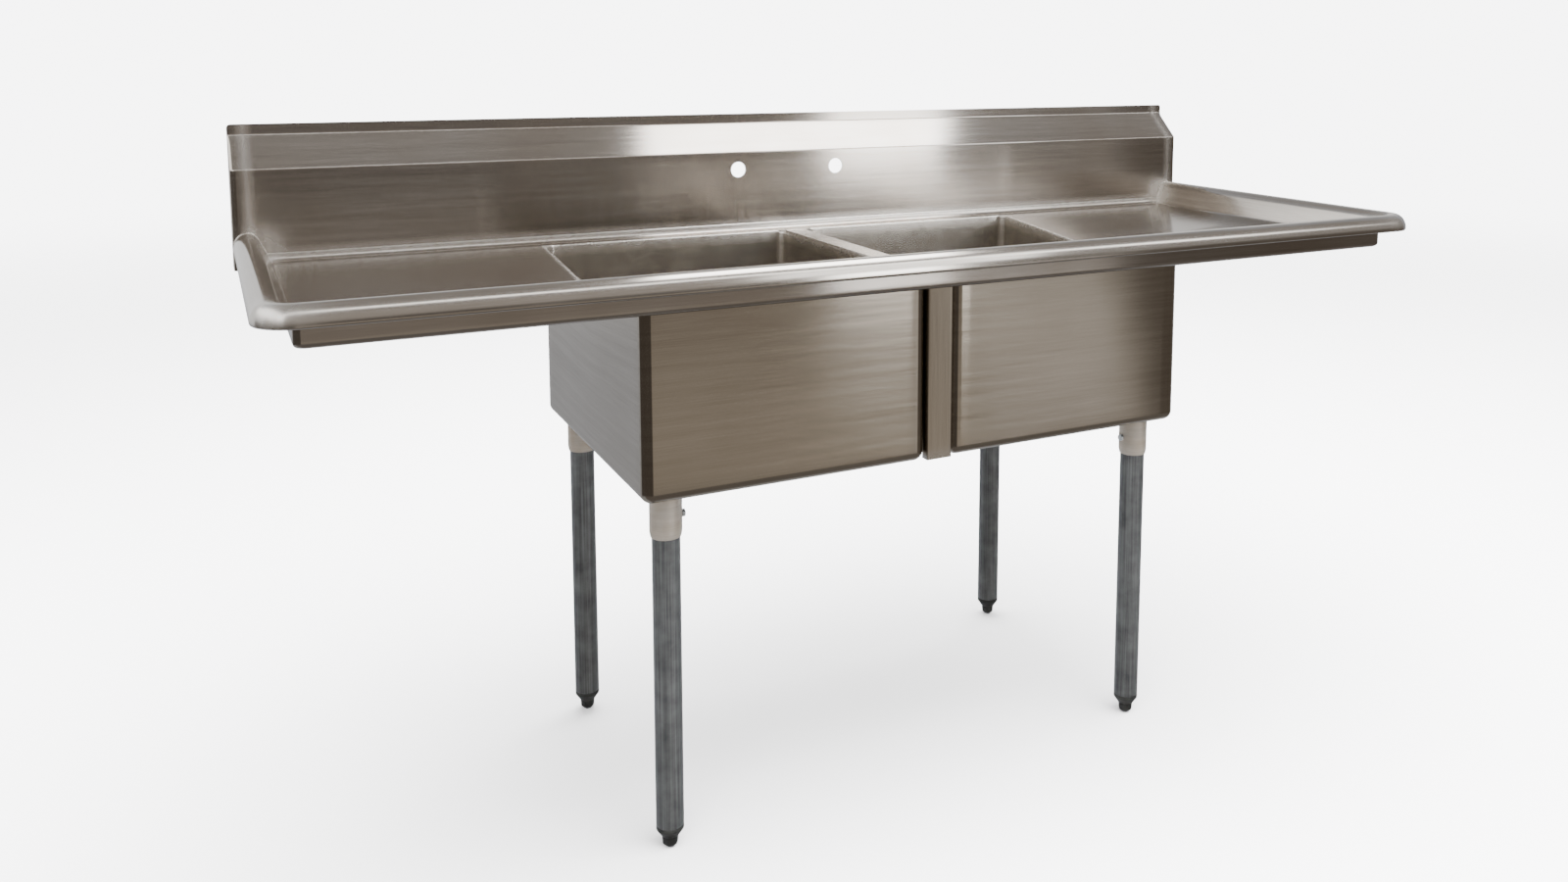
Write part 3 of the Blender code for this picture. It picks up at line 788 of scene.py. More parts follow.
# A closed sheet with squares of cells left out. Each gap is filled by rings, (1 - share) of the
# square plus share of a circle, and the innermost rings of both faces are joined to make the hole's
# wall.
def panelMesh(name, front, back, uv, ground, skip, finish, nodes):
    rows, columns = front.shape[:2]
    i, j = quads(rows, columns)
    inside = np.zeros(len(i), bool)
    pieces, faces, uvs, marks = [front.reshape(-1, 3), back.reshape(-1, 3)], [], [], [ground.ravel()] * 2
    count = rows * columns
    for low, high, first, last in skip:
        inside |= (i[:, 0] >= low) & (i[:, 0] < high) & (j[:, 0] >= first) & (j[:, 0] < last)
    number = (i * columns + j)[~inside]
    faces += [number, number[:, ::-1] + count]
    uvs += [uv[i, j][~inside], uv[i, j][~inside][:, ::-1]]
    edge = [
        (np.arange(columns), 0 * np.arange(columns)),
        (np.arange(columns)[::-1], 0 * np.arange(columns) + rows - 1),
    ]
    for j2, i2 in edge:
        a = i2 * columns + j2
        faces.append(np.stack([a[1:], a[:-1], a[:-1] + count, a[1:] + count], 1))
        uvs.append(
            uv[i2, j2][np.stack([np.arange(1, len(a)), np.arange(len(a) - 1)] * 2, 1)[:, [0, 1, 3, 2]]]
        )
    for i2, place in ((np.arange(rows)[::-1], 0), (np.arange(rows), columns - 1)):
        j2 = np.full(rows, place)
        a = i2 * columns + j2
        faces.append(np.stack([a[1:], a[:-1], a[:-1] + count, a[1:] + count], 1))
        uvs.append(
            uv[i2, j2][np.stack([np.arange(1, len(a)), np.arange(len(a) - 1)] * 2, 1)[:, [0, 1, 3, 2]]]
        )
    base = 2 * count
    share = np.array([0, 0.35, 0.65, 0.85, 0.96, 1.0])[:, None, None]
    for low, high, first, last in skip:
        around = np.concatenate(
            [
                [(low, k) for k in range(first, last)],
                [(k, last) for k in range(low, high)],
                [(high, k) for k in range(last, first, -1)],
                [(k, first) for k in range(high, low, -1)],
            ]
        )
        for side, grid in ((0, front), (1, back)):
            square = grid[around[:, 0], around[:, 1]]
            middle = square.mean(0)
            flat = square - middle
            circle = flat / np.linalg.norm(flat, axis=1, keepdims=True) * splash["holeRadius"]
            circle[:, 1] = 0
            rings = middle + flat * (1 - share) + circle * share
            k, m = quads(len(rings), len(square), wrapColumns=True)
            number = base + k * len(square) + m % len(square)
            faces.append(number if side else number[:, ::-1])
            span = uv[around[:, 0], around[:, 1]]
            centre = span.mean(0)
            flatUv = span - centre
            roundUv = flatUv / np.linalg.norm(flatUv, axis=1, keepdims=True) * splash["holeRadius"]
            ringUv = centre + flatUv * (1 - share) + roundUv * share
            found = ringUv[k, m % len(square)]
            uvs.append(found if side else found[:, ::-1])
            pieces.append(rings.reshape(-1, 3))
            marks.append(
                np.broadcast_to(np.array([0, 0, 0, 0, 0.5, 1.0])[:, None], (6, len(square))).ravel()
            )
            base += rings.shape[0] * rings.shape[1]
        size = len(rings) * len(square)
        m = np.arange(len(square))
        inner = base - 2 * size + 5 * len(square) + m
        outer = inner + size
        n = np.roll(np.arange(len(square)), -1)
        faces.append(np.stack([inner, outer, outer[n], inner[n]], 1))
        uvs.append(np.zeros((len(square), 4, 2)))
    points = np.concatenate(pieces)
    kept, first, fresh = np.unique(np.round(points, 6), axis=0, return_index=True, return_inverse=True)
    fresh = fresh.reshape(-1)
    return putMesh(
        name,
        points[first],
        fresh[np.concatenate(faces)],
        np.concatenate(uvs),
        finish,
        "sink",
        nodes,
        np.concatenate(marks)[first],
    )


profile, patchRow = splashProfile()
stations = splashStations()
panelFront = splashSurface(stations, profile, (0, 0, 0))
backLine = offset(profile[::-1], sheet)[::-1]
backLine[0] = profile[0] + (sheet, 0)
panelBack = splashSurface(stations, backLine, (0, 0, 0))
panelBack[..., 1] = np.minimum(panelBack[..., 1], wallY)
panelUv = np.stack(np.broadcast_arrays(stations[:, None], along(profile)[None]), -1)
x, y, z = np.moveaxis(panelFront, -1, 0)
endGap = deck["length"] / 2 - np.abs(x)
# ground bright over the end welds, and in a fan where the rim's arch runs into the face
fan = np.exp(-(((endGap - 0.045) / 0.030) ** 2 + ((z - 0.880) / 0.020) ** 2))
fan2 = np.exp(-(((endGap - 0.060) / 0.012) ** 2 + ((z - 0.862) / 0.014) ** 2))
panelGround = np.clip(
    nearLine(endGap, splash["seam"], 0.004) * 0.8 + fan * 0.9 + fan2 + nearLine(z, 0.852, 0.004), 0, 1,
)
cells = splash["patchCells"]
starts = [int(np.argmin(np.abs(stations - (side * splash["holeX"] - splash["patch"])))) for side in (-1, 1)]
skip = [(s, s + cells, patchRow, patchRow + cells) for s in starts]
panelMesh(
    "backsplashPanel", panelFront, panelBack, panelUv, panelGround, skip, sheetSteel, ["backsplash_panel"],
)

for sideName, side in sides.items():
    rows = np.linspace(0, 1, 14)[:, None]
    edgeLine = profile + np.column_stack(
        [np.minimum(splash["endBend"], (wallY - profile[:, 0]) * 0.8), 0 * profile[:, 0]]
    )
    y = edgeLine[:, 0] + (wallY - edgeLine[:, 0]) * rows
    z = np.broadcast_to(edgeLine[:, 1], y.shape)
    x = np.full(y.shape, side * (deck["length"] / 2))
    z = z - (z > splash["top"] - 1e-6) * splash["lipCorner"]
    plate = np.stack([x, y, z], -1)
    plateUv = np.stack([z, y], -1)
    name = "backsplash_end_" + sideName
    sheetPiece(
        "backsplashEnd" + sideName.title(), plate, plate - (side * sheet, 0, 0), plateUv, sheetSteel,
        [name],
    )


# Weld beads where the rim's arch runs into the face


bead = {
    "radius": 0.0011, "ripple": 0.12, "pitch": 0.0019, "leastInset": 0.0010, "proud": 0.0002,
    "sides": 10,
}


# A tube round a line in space: the radius swells and falls as a sine of the distance along, for the
# ripples of the weld pool, and both ends close to a point.
def weldBead(name, path):
    path = np.asarray(path, float)
    run = np.gradient(path, axis=0)
    run /= np.linalg.norm(run, axis=1, keepdims=True)
    aside = np.cross(run, (0.31, 0.93, 0.2))
    aside /= np.linalg.norm(aside, axis=1, keepdims=True)
    other = np.cross(run, aside)
    gone = along(path)
    width = bead["radius"] * (1 + bead["ripple"] * np.sin(gone * 2 * math.pi / bead["pitch"]))
    count = bead["sides"]
    turn = np.linspace(0, 2 * math.pi, count, endpoint=False)
    ring = np.cos(turn)[None, :, None] * aside[:, None] + np.sin(turn)[None, :, None] * other[:, None]
    points = (path[:, None] + width[:, None, None] * ring).reshape(-1, 3)
    i, j = quads(len(path), count, wrapColumns=True)
    faces = i * count + j % count
    first, last = len(points), len(points) + 1
    k = np.arange(count)
    after = np.roll(k, -1)
    far = (len(path) - 1) * count
    cap = np.concatenate(
        [
            np.stack([k * 0 + first, after, k, k], 1),
            np.stack([k * 0 + last, k + far, after + far, after + far], 1),
        ]
    )
    uv = np.concatenate([np.stack([gone[i], j * 0.0007], -1), np.zeros((2 * count, 4, 2))])
    points = np.concatenate([points, path[[0, -1]]])
    putMesh(name, points, np.concatenate([faces, cap]), uv, rimSteel, "sink", [],
            np.full(len(points), 0.5))


for sideName, side in sides.items():
    section = rimSection[(rimSection[:, 1] > deckTop + 0.002)]
    line = spaced(section, 0.0007)
    inset = np.maximum(line[:, 0], bead["leastInset"]) + 0.0004
    beadY = np.full(len(line), deck["face"] + bead["proud"])
    path = np.column_stack([side * (deck["length"] / 2 - inset), beadY, line[:, 1] + bead["proud"]])
    weldBead("rimWeld" + sideName.title(), path)
print("backsplash built")


# Deck: the heights, the cove and ledge behind the bowls, the front ledge, the divider and the
# drainboards


deckEdge = 0.004  # how far the deck pieces stop short of a bowl's inner wall


# Depth below the deck: the dish times the share of the way from the far end to the bowl, times 1 - |y
# - middle| / half the width, with |y - middle| eased to sqrt(distance^2 + crease^2).
def boardDip(x, y, crease=0.007):
    reachX = np.clip((deck["boardOut"] - np.abs(x)) / (deck["boardOut"] - deck["boardIn"]), 0, 1.02)
    middle = (deck["boardFront"] + deck["boardBack"]) / 2
    halfSpan = (deck["boardBack"] - deck["boardFront"]) / 2
    eased = np.sqrt((y - middle) ** 2 + crease**2)
    edge = math.sqrt(halfSpan**2 + crease**2)
    return deck["dish"] * reachX * np.clip(1 - eased / edge, 0, 1)


# The deck's height: level along the ledges, following the drainboards beside the bowls
def deckLevel(x, y):
    share = np.clip((np.abs(x) - 0.4576) / (deck["boardIn"] - 0.4576), 0, 1)
    return deckTop - share * boardDip(np.maximum(np.abs(x), deck["boardIn"]), y)


cove = {"radius": 0.012, "lap": 0.0018, "fillet": 0.0022}
coveFront = deck["face"] - cove["lap"]
edgeBack = deck["bowlBack"] - sheet + deckEdge
coveLine = rounded(
    [(edgeBack, deckTop), (coveFront, deckTop), (coveFront, deckTop + cove["radius"] + 0.0005),
     (deck["face"] + 0.0004, deckTop + cove["radius"] + cove["fillet"])],
    [cove["radius"], cove["fillet"] * 0.5],
    14,
)
coveLine = spaced(coveLine, 0.006)
across = np.linspace(-1, 1, 200)
lean = 0.47
reach = deck["boardOut"] + np.clip(
    (coveLine[:, 1] - deckTop) / 0.0006, 0, 1,
) * 0.006 + lean * (coveLine[:, 1] - deckTop)
x = across[:, None] * reach
y = np.broadcast_to(coveLine[:, 0], x.shape)
z = np.broadcast_to(coveLine[:, 1], x.shape)
coveTop = np.stack([x, y, z], -1)
coveUnder = coveTop + np.array([0, 1, -1]) * np.stack(
    [0 * x, 0.001 * (z > deckTop + 1e-4), sheet * (z < deckTop + 0.006) + 0.0004], -1,
)
coveUv = np.stack([x, np.broadcast_to(along(coveLine), x.shape)], -1)
coveGround = np.clip(
    nearLine(z, deckTop + cove["radius"], 0.004) + nearLine(deck["length"] / 2 - np.abs(x), 0.05, 0.012),
    0, 1,
)
sheetPiece(
    "rearDeck", coveTop, coveUnder, coveUv, sheetSteel, ["rear_deck"],
    ground=coveGround,
)

ledgeX = np.linspace(-1, 1, 161) * (deck["boardIn"] + deckEdge)
ledgeY = np.linspace(deck["boardFront"], deck["bowlFront"] + sheet - deckEdge, 8)
x, y = np.meshgrid(ledgeX, ledgeY, indexing="ij")
ledgeTop = np.stack([x, y, deckLevel(x, y)], -1)
sheetPiece(
    "frontLedge", ledgeTop, ledgeTop - (0, 0, sheet), np.stack([x, y], -1), sheetSteel,
    ["front_ledge"],
)

capX = np.linspace(-1, 1, 9) * (deck["bowlIn"] + sheet - 0.0075)
capY = np.linspace(deck["bowlFront"] + sheet - deckEdge, edgeBack, 60)
y, x = np.meshgrid(capY, capX, indexing="ij")
capTop = np.stack([x, y, np.full(x.shape, deckTop)], -1)
sheetPiece(
    "dividerCap", capTop, capTop - (0, 0, sheet), np.stack([y, x], -1), sheetSteel, ["divider_cap"],
)

for sideName, side in sides.items():
    tight = rim["tightCorner"]
    innerEdge = deck["boardIn"] + deckEdge
    outward = np.concatenate(
        [np.linspace(innerEdge, deck["boardOut"] - tight, 60)[:-1],
         deck["boardOut"] - tight + tight * np.sin(np.linspace(0, math.pi / 2, 10))]
    )
    lead = np.clip(outward - (deck["boardOut"] - tight), 0, tight)
    frontY = deck["boardFront"] + tight - np.sqrt(np.maximum(tight**2 - lead**2, 0))
    share = np.linspace(0, 1, 91)
    y = frontY[:, None] + (edgeBack - frontY[:, None]) * share
    x = np.broadcast_to(outward[:, None], y.shape)
    top = np.stack([side * x, y, deckLevel(x, y)], -1)
    ground = nearLine(x, innerEdge, 0.004) * 0.9
    sheetPiece(
        "drainboard" + sideName.title(), top, top - (0, 0, sheet), np.stack([side * x, y], -1), sheetSteel,
        ["drainboard_" + sideName], ground=ground,
    )
print("deck built")


# Bowls: a web that squares up the deck opening, a soft edge, walls with rounded corners and a coved
# bottom


bowlShape = {
    "corner": 0.018,  # outside plan radius
    "bottomBend": 0.016,
    "base": 0.545,
    "lip": 0.0025,  # radius of the edge where the deck turns down
    "dividerLip": 0.006,
    "fall": 0.003,  # how far the floor drops from its corners to the drain
    "drain": 0.045,
    "cornerCells": 12,
    "sideCells": 22,
    "satin": 0.5,
}


# The inner wall's rounded rectangle, grown: each point is its corner's centre plus its direction
# times (radius + outset), for an outset given point by point. square = 1 carries the corner's arc out
# to the square corner.
def bowlRing(side, outset, square=0.0):
    lowX, highX = sorted((side * deck["bowlIn"], side * deck["bowlOut"]))
    cornerCells, sideCells = bowlShape["cornerCells"], bowlShape["sideCells"]
    radius = bowlShape["corner"] - sheet
    x0, x1 = lowX + bowlShape["corner"], highX - bowlShape["corner"]
    y0, y1 = deck["bowlFront"] + bowlShape["corner"], deck["bowlBack"] - bowlShape["corner"]
    turn = np.linspace(0, math.pi / 2, cornerCells + 1)
    run = np.linspace(0, 1, sideCells + 2)[1:-1]
    places, directions = [], []
    centres = [(x0, y0), (x1, y0), (x1, y1), (x0, y1)]
    for k, centre in enumerate(centres):
        a = math.pi + k * math.pi / 2 + turn
        direction = np.column_stack([np.cos(a), np.sin(a)])
        places.append(np.broadcast_to(centre, direction.shape))
        directions.append(direction)
        following = np.array(centres[(k + 1) % 4])
        places.append(np.array(centre) + (following - centre) * run[:, None])
        directions.append(np.broadcast_to(direction[-1], (sideCells, 2)))
    places, directions = np.concatenate(places), np.concatenate(directions)
    stretch = 1 + square * (1 / np.abs(directions).max(1) - 1)
    reach = np.maximum(radius + outset, 0.0012)
    grown = places + directions * (reach * stretch)[:, None]
    # where the outset eats the whole corner radius the sides still have to move in
    short = (radius + outset) - reach
    return grown + np.sign(np.round(directions, 6)) * short[:, None] * (np.abs(directions) > 1e-6)


# Grid rows from the deck edge to the drain hole, on the inner face or, with thick, one sheet outside
# it: the lip is a quarter circle, the wall is upright, the bottom bend is a quarter circle, and the
# floor runs from the wall's outline to the drain's circle by shares, falling smoothly.
def bowlRows(side, thick):
    points = bowlRing(side, np.zeros(4 * (bowlShape["cornerCells"] + bowlShape["sideCells"] + 1)))
    count = len(points)
    # the edge is rounder along the divider
    nearDivider = window(side * points[:, 0], -1, deck["bowlIn"] + 0.012, 0.012)
    lip = bowlShape["lip"] + (bowlShape["dividerLip"] - bowlShape["lip"]) * nearDivider
    grow = sheet if thick else 0.0
    rows = []

    def addRow(outset, z, square=0.0, level=False):
        xy = bowlRing(side, outset, square)
        height = deckLevel(xy[:, 0], xy[:, 1]) + z if level else np.broadcast_to(z, count)
        rows.append(np.column_stack([xy, height]))

    reach = np.maximum(deckEdge, lip + 0.0015)
    drop = -sheet if thick else 0.0
    under = drop - 0.0004 * np.clip((reach - deckEdge) / 0.001, 0, 1) * (
        np.abs(points[:, 0]) > deck["bowlIn"] + 0.002
    )
    addRow(reach, under, 1.0, True)
    addRow(lip + (reach - lip) * 0.3, drop, 0.3, True)
    for a in np.linspace(0, math.pi / 2, 9):
        bend = lip - grow
        addRow(lip - bend * math.sin(a), -lip + bend * math.cos(a), 0.0, True)
    top = deckTop - bowlShape["dividerLip"] - 0.001
    floor = bowlShape["base"] + (0 if thick else sheet)
    bend = bowlShape["bottomBend"] - (0 if thick else sheet)
    dipHere = deckLevel(points[:, 0], points[:, 1]) - deckTop
    for share in np.linspace(0.06, 1, 14):
        z = (top + dipHere) * (1 - share) + (floor + bend) * share
        addRow(np.full(count, grow), z)
    for a in np.linspace(0, math.pi / 2, 11)[1:]:
        addRow(
            np.full(count, grow - bend * (1 - math.cos(a))),
            np.full(count, floor + bend - bend * math.sin(a)),
        )
    centre = np.array(
        [side * (deck["bowlIn"] + deck["bowlOut"]) / 2, (deck["bowlFront"] + deck["bowlBack"]) / 2]
    )
    rim0 = rows[-1][:, :2] - centre
    turn = np.arctan2(rim0[:, 1], rim0[:, 0])
    circle = np.column_stack([np.cos(turn), np.sin(turn)]) * bowlShape["drain"]
    slope = 0 if thick else bowlShape["fall"]
    for share in (0.002, 0.04, 0.12, 0.25, 0.4, 0.55, 0.7, 0.82, 0.9, 0.96, 1.0):
        xy = centre + rim0 * (1 - share) + circle * share
        away = np.linalg.norm(xy - centre, axis=1)
        eased = np.clip((away - 0.062) / 0.2, 0, 1) * (1 - share) ** 0.25
        rows.append(np.column_stack([xy, floor + slope * eased * min(share / 0.04, 1)]))
    return np.stack(rows)


for sideName, side in sides.items():
    inner = bowlRows(side, False)
    outer = bowlRows(side, True)
    count = inner.shape[1]
    around = np.concatenate(
        [[0], np.cumsum(np.linalg.norm(np.diff(np.vstack([inner[14], inner[14][:1]]), axis=0), axis=1))]
    )
    down = np.concatenate([[0], np.cumsum(np.linalg.norm(np.diff(inner, axis=0), axis=2).mean(1))])
    uv = np.stack(np.broadcast_arrays(around[None], down[:, None]), -1).copy()
    flat = len(inner) - 11
    wrapped = np.concatenate([inner, inner[:, :1]], 1)
    uv[flat:] = wrapped[flat:, :, :2]
    uv[:2] = wrapped[:2, :, :2]
    # the inside is satin all over; outside only the edge is ground
    edge = np.zeros((2, *inner.shape[:2]))
    edge[0, 11:] = bowlShape["satin"]
    edge[:, :11] = 0.85
    sheetPiece(
        "bowl" + sideName.title(), inner, outer, uv, bowlSteel, ["bowl_" + sideName],
        wrap=True, ground=edge,
    )

filler = {"half": 0.0225, "sheet": 0.0012, "top": 0.8362, "low": 0.5465, "return": 0.016, "bend": 0.0015}
for name, nodeName, faceY, outward in (
    ("frontFillerStrip", "front_filler_strip", deck["bowlFront"], -1),
    ("rearFillerStrip", "rear_filler_strip", deck["bowlBack"], 1),
):
    # both edges are turned back between the bowls
    edgeX, faceOut = deck["bowlIn"] - 0.0003, filler["sheet"] + 0.0003
    section = rounded(
        [
            (-edgeX, faceOut - filler["return"]), (-edgeX, faceOut), (edgeX, faceOut),
            (edgeX, faceOut - filler["return"]),
        ],
        [filler["bend"]] * 2,
        6,
    )
    section = spaced(section, 0.004)
    inside = offset(section, filler["sheet"])
    z = np.linspace(filler["low"], filler["top"], 60)[None, :]
    outerSide, innerSide = (
        np.stack(
            np.broadcast_arrays(line[:, :1], faceY + outward * line[:, 1:], z), -1,
        ) for line in (section, inside)
    )
    uv = np.stack(np.broadcast_arrays(z, along(section)[:, None]), -1)
    ground = nearLine(z, filler["low"], 0.012) + 0 * section[:, :1]
    sheetPiece(
        name, outerSide, innerSide, uv, bowlSteel, [nodeName], ground=ground,
    )
print("bowls built")


# Stiffening channels under the drainboards


channelShape = {"half": 0.015, "depth": 0.020, "flange": 0.015, "bend": 0.003, "clear": 0.040}
for sideName, side in sides.items():
    middle = (deck["boardFront"] + deck["boardBack"]) / 2
    hat = rounded(
        [
            (-channelShape["half"] - channelShape["flange"], 0),
            (-channelShape["half"], 0),
            (-channelShape["half"], -channelShape["depth"]),
            (channelShape["half"], -channelShape["depth"]),
            (channelShape["half"], 0),
            (channelShape["half"] + channelShape["flange"], 0),
        ],
        [channelShape["bend"]] * 4,
        6,
    )
    x = np.linspace(
        deck["boardOut"] - channelShape["clear"], deck["boardIn"] + channelShape["clear"], 50,
    )[:, None]
    under = deckTop - sheet - 0.0003 - boardDip(x, middle)
    front = np.stack(np.broadcast_arrays(side * x, middle + hat[None, :, 0], under + hat[None, :, 1]), -1)
    inside = offset(hat, sheet)
    back = np.stack(
        np.broadcast_arrays(side * x, middle + inside[None, :, 0], under + inside[None, :, 1]), -1,
    )
    uv = np.stack(np.broadcast_arrays(x, along(hat)[None]), -1)
    sheetPiece(
        "drainboardChannel" + sideName.title(), front, back, uv, sheetSteel,
        ["drainboard_channel_" + sideName],
    )


# Legs: gusset, socket with its screw, tube, insert and bullet foot


leg = {
    "tube": 0.02065,
    "wall": 0.0016,
    "top": 0.5399,
    "foot": 0.035,
    "socket": 0.0238,
    "socketTop": 0.5419,
    "socketLow": 0.4789,
    "nose": 0.005,
    "gusset": 0.0025,
    "gussetTop": 0.5447,
    "gussetOut": 0.0245,
    "gussetIn": 0.060,
    "insert": 0.030,
    "clear": 0.0003,  # gap kept between pieces that touch
}
foot = {
    "collar": 0.006, "taper": 0.012, "stub": 0.0115, "chamfer": 0.0055, "stem": 0.008,
    "stemLength": 0.045,
}
screw = {"shank": 0.0032, "head": 0.0060, "start": 0.02125, "seat": 0.0241, "end": 0.0291, "rise": 0.030}


# A plate with its inner corner cut across and all corners rounded: each row is its middle plus a
# share of the way to its edge, and the last row is bevelled.
def gussetPlate(name, side, inward, centre):
    g = leg
    cut = g["gussetIn"] / 2
    outline = np.array(
        [
            (g["gussetOut"], 0.0),
            (g["gussetOut"], g["gussetIn"]),
            (-cut, g["gussetIn"]),
            (-g["gussetIn"], cut),
            (-g["gussetIn"], -g["gussetOut"]),
            (g["gussetOut"], -g["gussetOut"]),
            (g["gussetOut"], 0.0),
        ]
    )
    edge = spaced(rounded(outline, [0.006] * 5, 6), 0.006)[:-1] * (side, inward)
    middle = edge.mean(0)
    share = np.array([0.02, 0.3, 0.6, 0.85, 0.97, 1.0])[:, None, None]
    xy = middle + (edge - middle) * share
    bevel = np.array([0, 0, 0, 0, 0, 0.0004])[:, None]
    z = np.broadcast_to(g["gussetTop"] - g["gusset"] + bevel, xy.shape[:2])
    low = np.concatenate([xy, z[..., None]], -1) + centre
    high = np.concatenate(
        [xy, np.broadcast_to(g["gussetTop"] - bevel, xy.shape[:2])[..., None]], -1,
    ) + centre
    wrapped = np.concatenate([low, low[:, :1]], 1)
    sheetPiece(name, low, high, wrapped[..., :2], sheetSteel, [], wrap=True)
    return bpy.data.objects[name]


for endName, legY in ends.items():
    for sideName, side in sides.items():
        place = endName + "_" + sideName
        tag = endName.title() + sideName.title()
        centre = np.array([side * legX, legY, 0.0])
        inward = 1 if endName == "front" else -1
        plate = gussetPlate("legGusset" + tag, side, inward, centre)
        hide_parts("leg_gusset_" + place)
        bore = leg["tube"] + leg["clear"]
        socketLine = rounded(
            [
                (bore, 0.52),
                (bore, leg["socketTop"]),
                (leg["socket"], leg["socketTop"]),
                (leg["socket"], leg["socketLow"] + leg["nose"] * 1.6),
                (leg["socket"] - 0.0016, leg["socketLow"]),
                (bore, leg["socketLow"]),
                (bore, 0.52),
            ],
            [0.0004, 0.0006, 0.010, 0.0010, 0.0003],
            6,
        )[:-1]
        socketLine = spaced(socketLine, 0.006)

        # A socket is never quite round: three shallow lobes, a sine of three times the angle, that
        # twist with height
        def flattened(turn, radius, height):
            return 1 + 0.003 * np.sin(3 * turn + 40 * height) * (radius > bore + 0.001)

        turnedPiece(
            "legSocket" + tag, socketLine, centre, socketSteel, ["leg_socket_" + place],
            shape=flattened,
        )
        inner = leg["tube"] - leg["wall"]
        tubeLine = rounded(
            [
                (inner, 0.3),
                (inner, leg["top"]),
                (leg["tube"], leg["top"]),
                (leg["tube"], leg["foot"]),
                (inner, leg["foot"]),
                (inner, 0.3),
            ],
            [0.0003, 0.0005, 0.0006, 0.0003],
            4,
        )[:-1]
        turnedPiece(
            "legTube" + tag, spaced(tubeLine, 0.02), centre, zincSteel, ["leg_tube_" + place],
        )
        plugTop, plug = leg["foot"] + leg["insert"], inner - leg["clear"]
        thread = foot["stem"] + leg["clear"]
        insertLine = rounded(
            [
                (thread, plugTop - 0.01),
                (thread, plugTop),
                (plug, plugTop),
                (plug, leg["foot"]),
                (thread, leg["foot"]),
                (thread, plugTop - 0.01),
            ],
            [0.0005, 0.0008, 0.0003, 0.0005],
            4,
        )[:-1]

        # Ten shallow grooves up the insert's side
        def ribbed(turn, radius, height):
            return 1 - 0.02 * (np.sin(10 * turn) > 0.6) * (radius > plug - 0.0005) * (
                height > leg["foot"] + 0.002
            )

        turnedPiece(
            "footInsert" + tag, spaced(insertLine, 0.008), centre, footPlastic,
            ["foot_insert_" + place], shape=ribbed,
        )
        collarTop = leg["foot"] - leg["clear"]
        collarLow = leg["foot"] - foot["collar"]
        footLine = rounded(
            [
                (0, collarTop + foot["stemLength"]),
                (foot["stem"], collarTop + foot["stemLength"]),
                (foot["stem"], collarTop),
                (leg["tube"], collarTop),
                (leg["tube"], collarLow),
                (foot["stub"] + 0.001, collarLow - foot["taper"]),
                (foot["stub"], foot["chamfer"]),
                (foot["stub"] - foot["chamfer"], 0),
                (0, 0),
            ],
            [0.0012, 0.0004, 0.0010, 0.0018, 0.0012, 0.0012, 0.0012],
            5,
        )
        footLine = spaced(footLine, 0.004)

        # Six flats on the stub, fading out up the taper
        def hexagonal(turn, radius, height):
            part = (turn % (math.pi / 3)) - math.pi / 6
            flat = np.minimum(math.cos(math.pi / 6) * 1.08 / np.cos(part), 1.0)
            stub = window(
                height, -0.01, collarLow - foot["taper"] + 0.0015, 0.004,
            ) * (radius < foot["stub"] + 0.004)
            return 1 + (flat - 1) * stub

        turnedPiece(
            "bulletFoot" + tag, footLine, centre, footPlastic, ["bullet_foot_" + place],
            body="foot_" + place, shape=hexagonal,
        )

        # the hexagon screw is turned upright and then laid over, pointing out of the socket
        screwLine = rounded(
            [
                (0, screw["start"]),
                (screw["shank"], screw["start"]),
                (screw["shank"], screw["seat"]),
                (screw["head"], screw["seat"]),
                (screw["head"], screw["end"] - 0.0006),
                (screw["head"] - 0.0008, screw["end"]),
                (0, screw["end"]),
            ],
            [0.0002, 0.0002, 0.0003, 0.0004, 0.0003],
            3,
        )

        # The head's six flats: cos(30 degrees) / cos(angle from the middle of a flat)
        def sixSided(turn, radius, height):
            part = (turn % (math.pi / 3)) - math.pi / 6
            return 1 + (math.cos(math.pi / 6) / np.cos(part) - 1) * (height > screw["seat"] - 1e-5)

        screwPiece = turnedPiece(
            "socketScrew" + tag, screwLine, (0, 0, 0), screwZinc, ["socket_screw_" + place],
            steps=48, shape=sixSided,
        )
        laidOver = Matrix.Rotation(-side * math.pi / 2, 4, "Y")
        screwPiece.data.transform(
            Matrix.Translation((*centre[:2], leg["socketLow"] + screw["rise"])) @ laidOver
        )
print("legs built")


# Drains: body, gasket, locknut, and a lift-out strainer with a pierced basket, a seal and a knob


drain = {
    "floor": 0.5465,
    "outer": 0.044,
    "inner": 0.042,
    "seat": 0.036,
    "flange": 0.057,
    "wall": 0.002,
    "seatDrop": 0.012,
    "cup": 0.044,
    "cone": 0.008,
    "tail": 0.019,
    "end": 0.082,
    "rest": 0.0117,  # depth of the basket's rim below the bowl floor
    "basketRim": 0.041,
    "basketWall": 0.035,
    "basketFoot": 0.031,
    "basketSheet": 0.001,
    "basketDepth": 0.024,
    "bore": 0.0043,
    "wallHoles": (60, 5),  # round the basket, and up or across it
    "floorHoles": (44, 5),
    "wallHoleShare": 0.62,  # a hole's width as a share of its cell
    "floorHoleShare": 0.55,
    "gasketWidth": 0.012,
    "gasketTop": -0.0018,
    "gasketLow": -0.0038,
    "nutWidth": 0.010,
    "nutTop": -0.0041,
    "nutLow": -0.0121,
    "hub": 0.0100,
    "sealDepth": 0.004,
    "post": 0.004,
    "knob": 0.009,
    "knobRise": 0.018,  # knob's underside above the basket floor
    "knobHeight": 0.008,
}


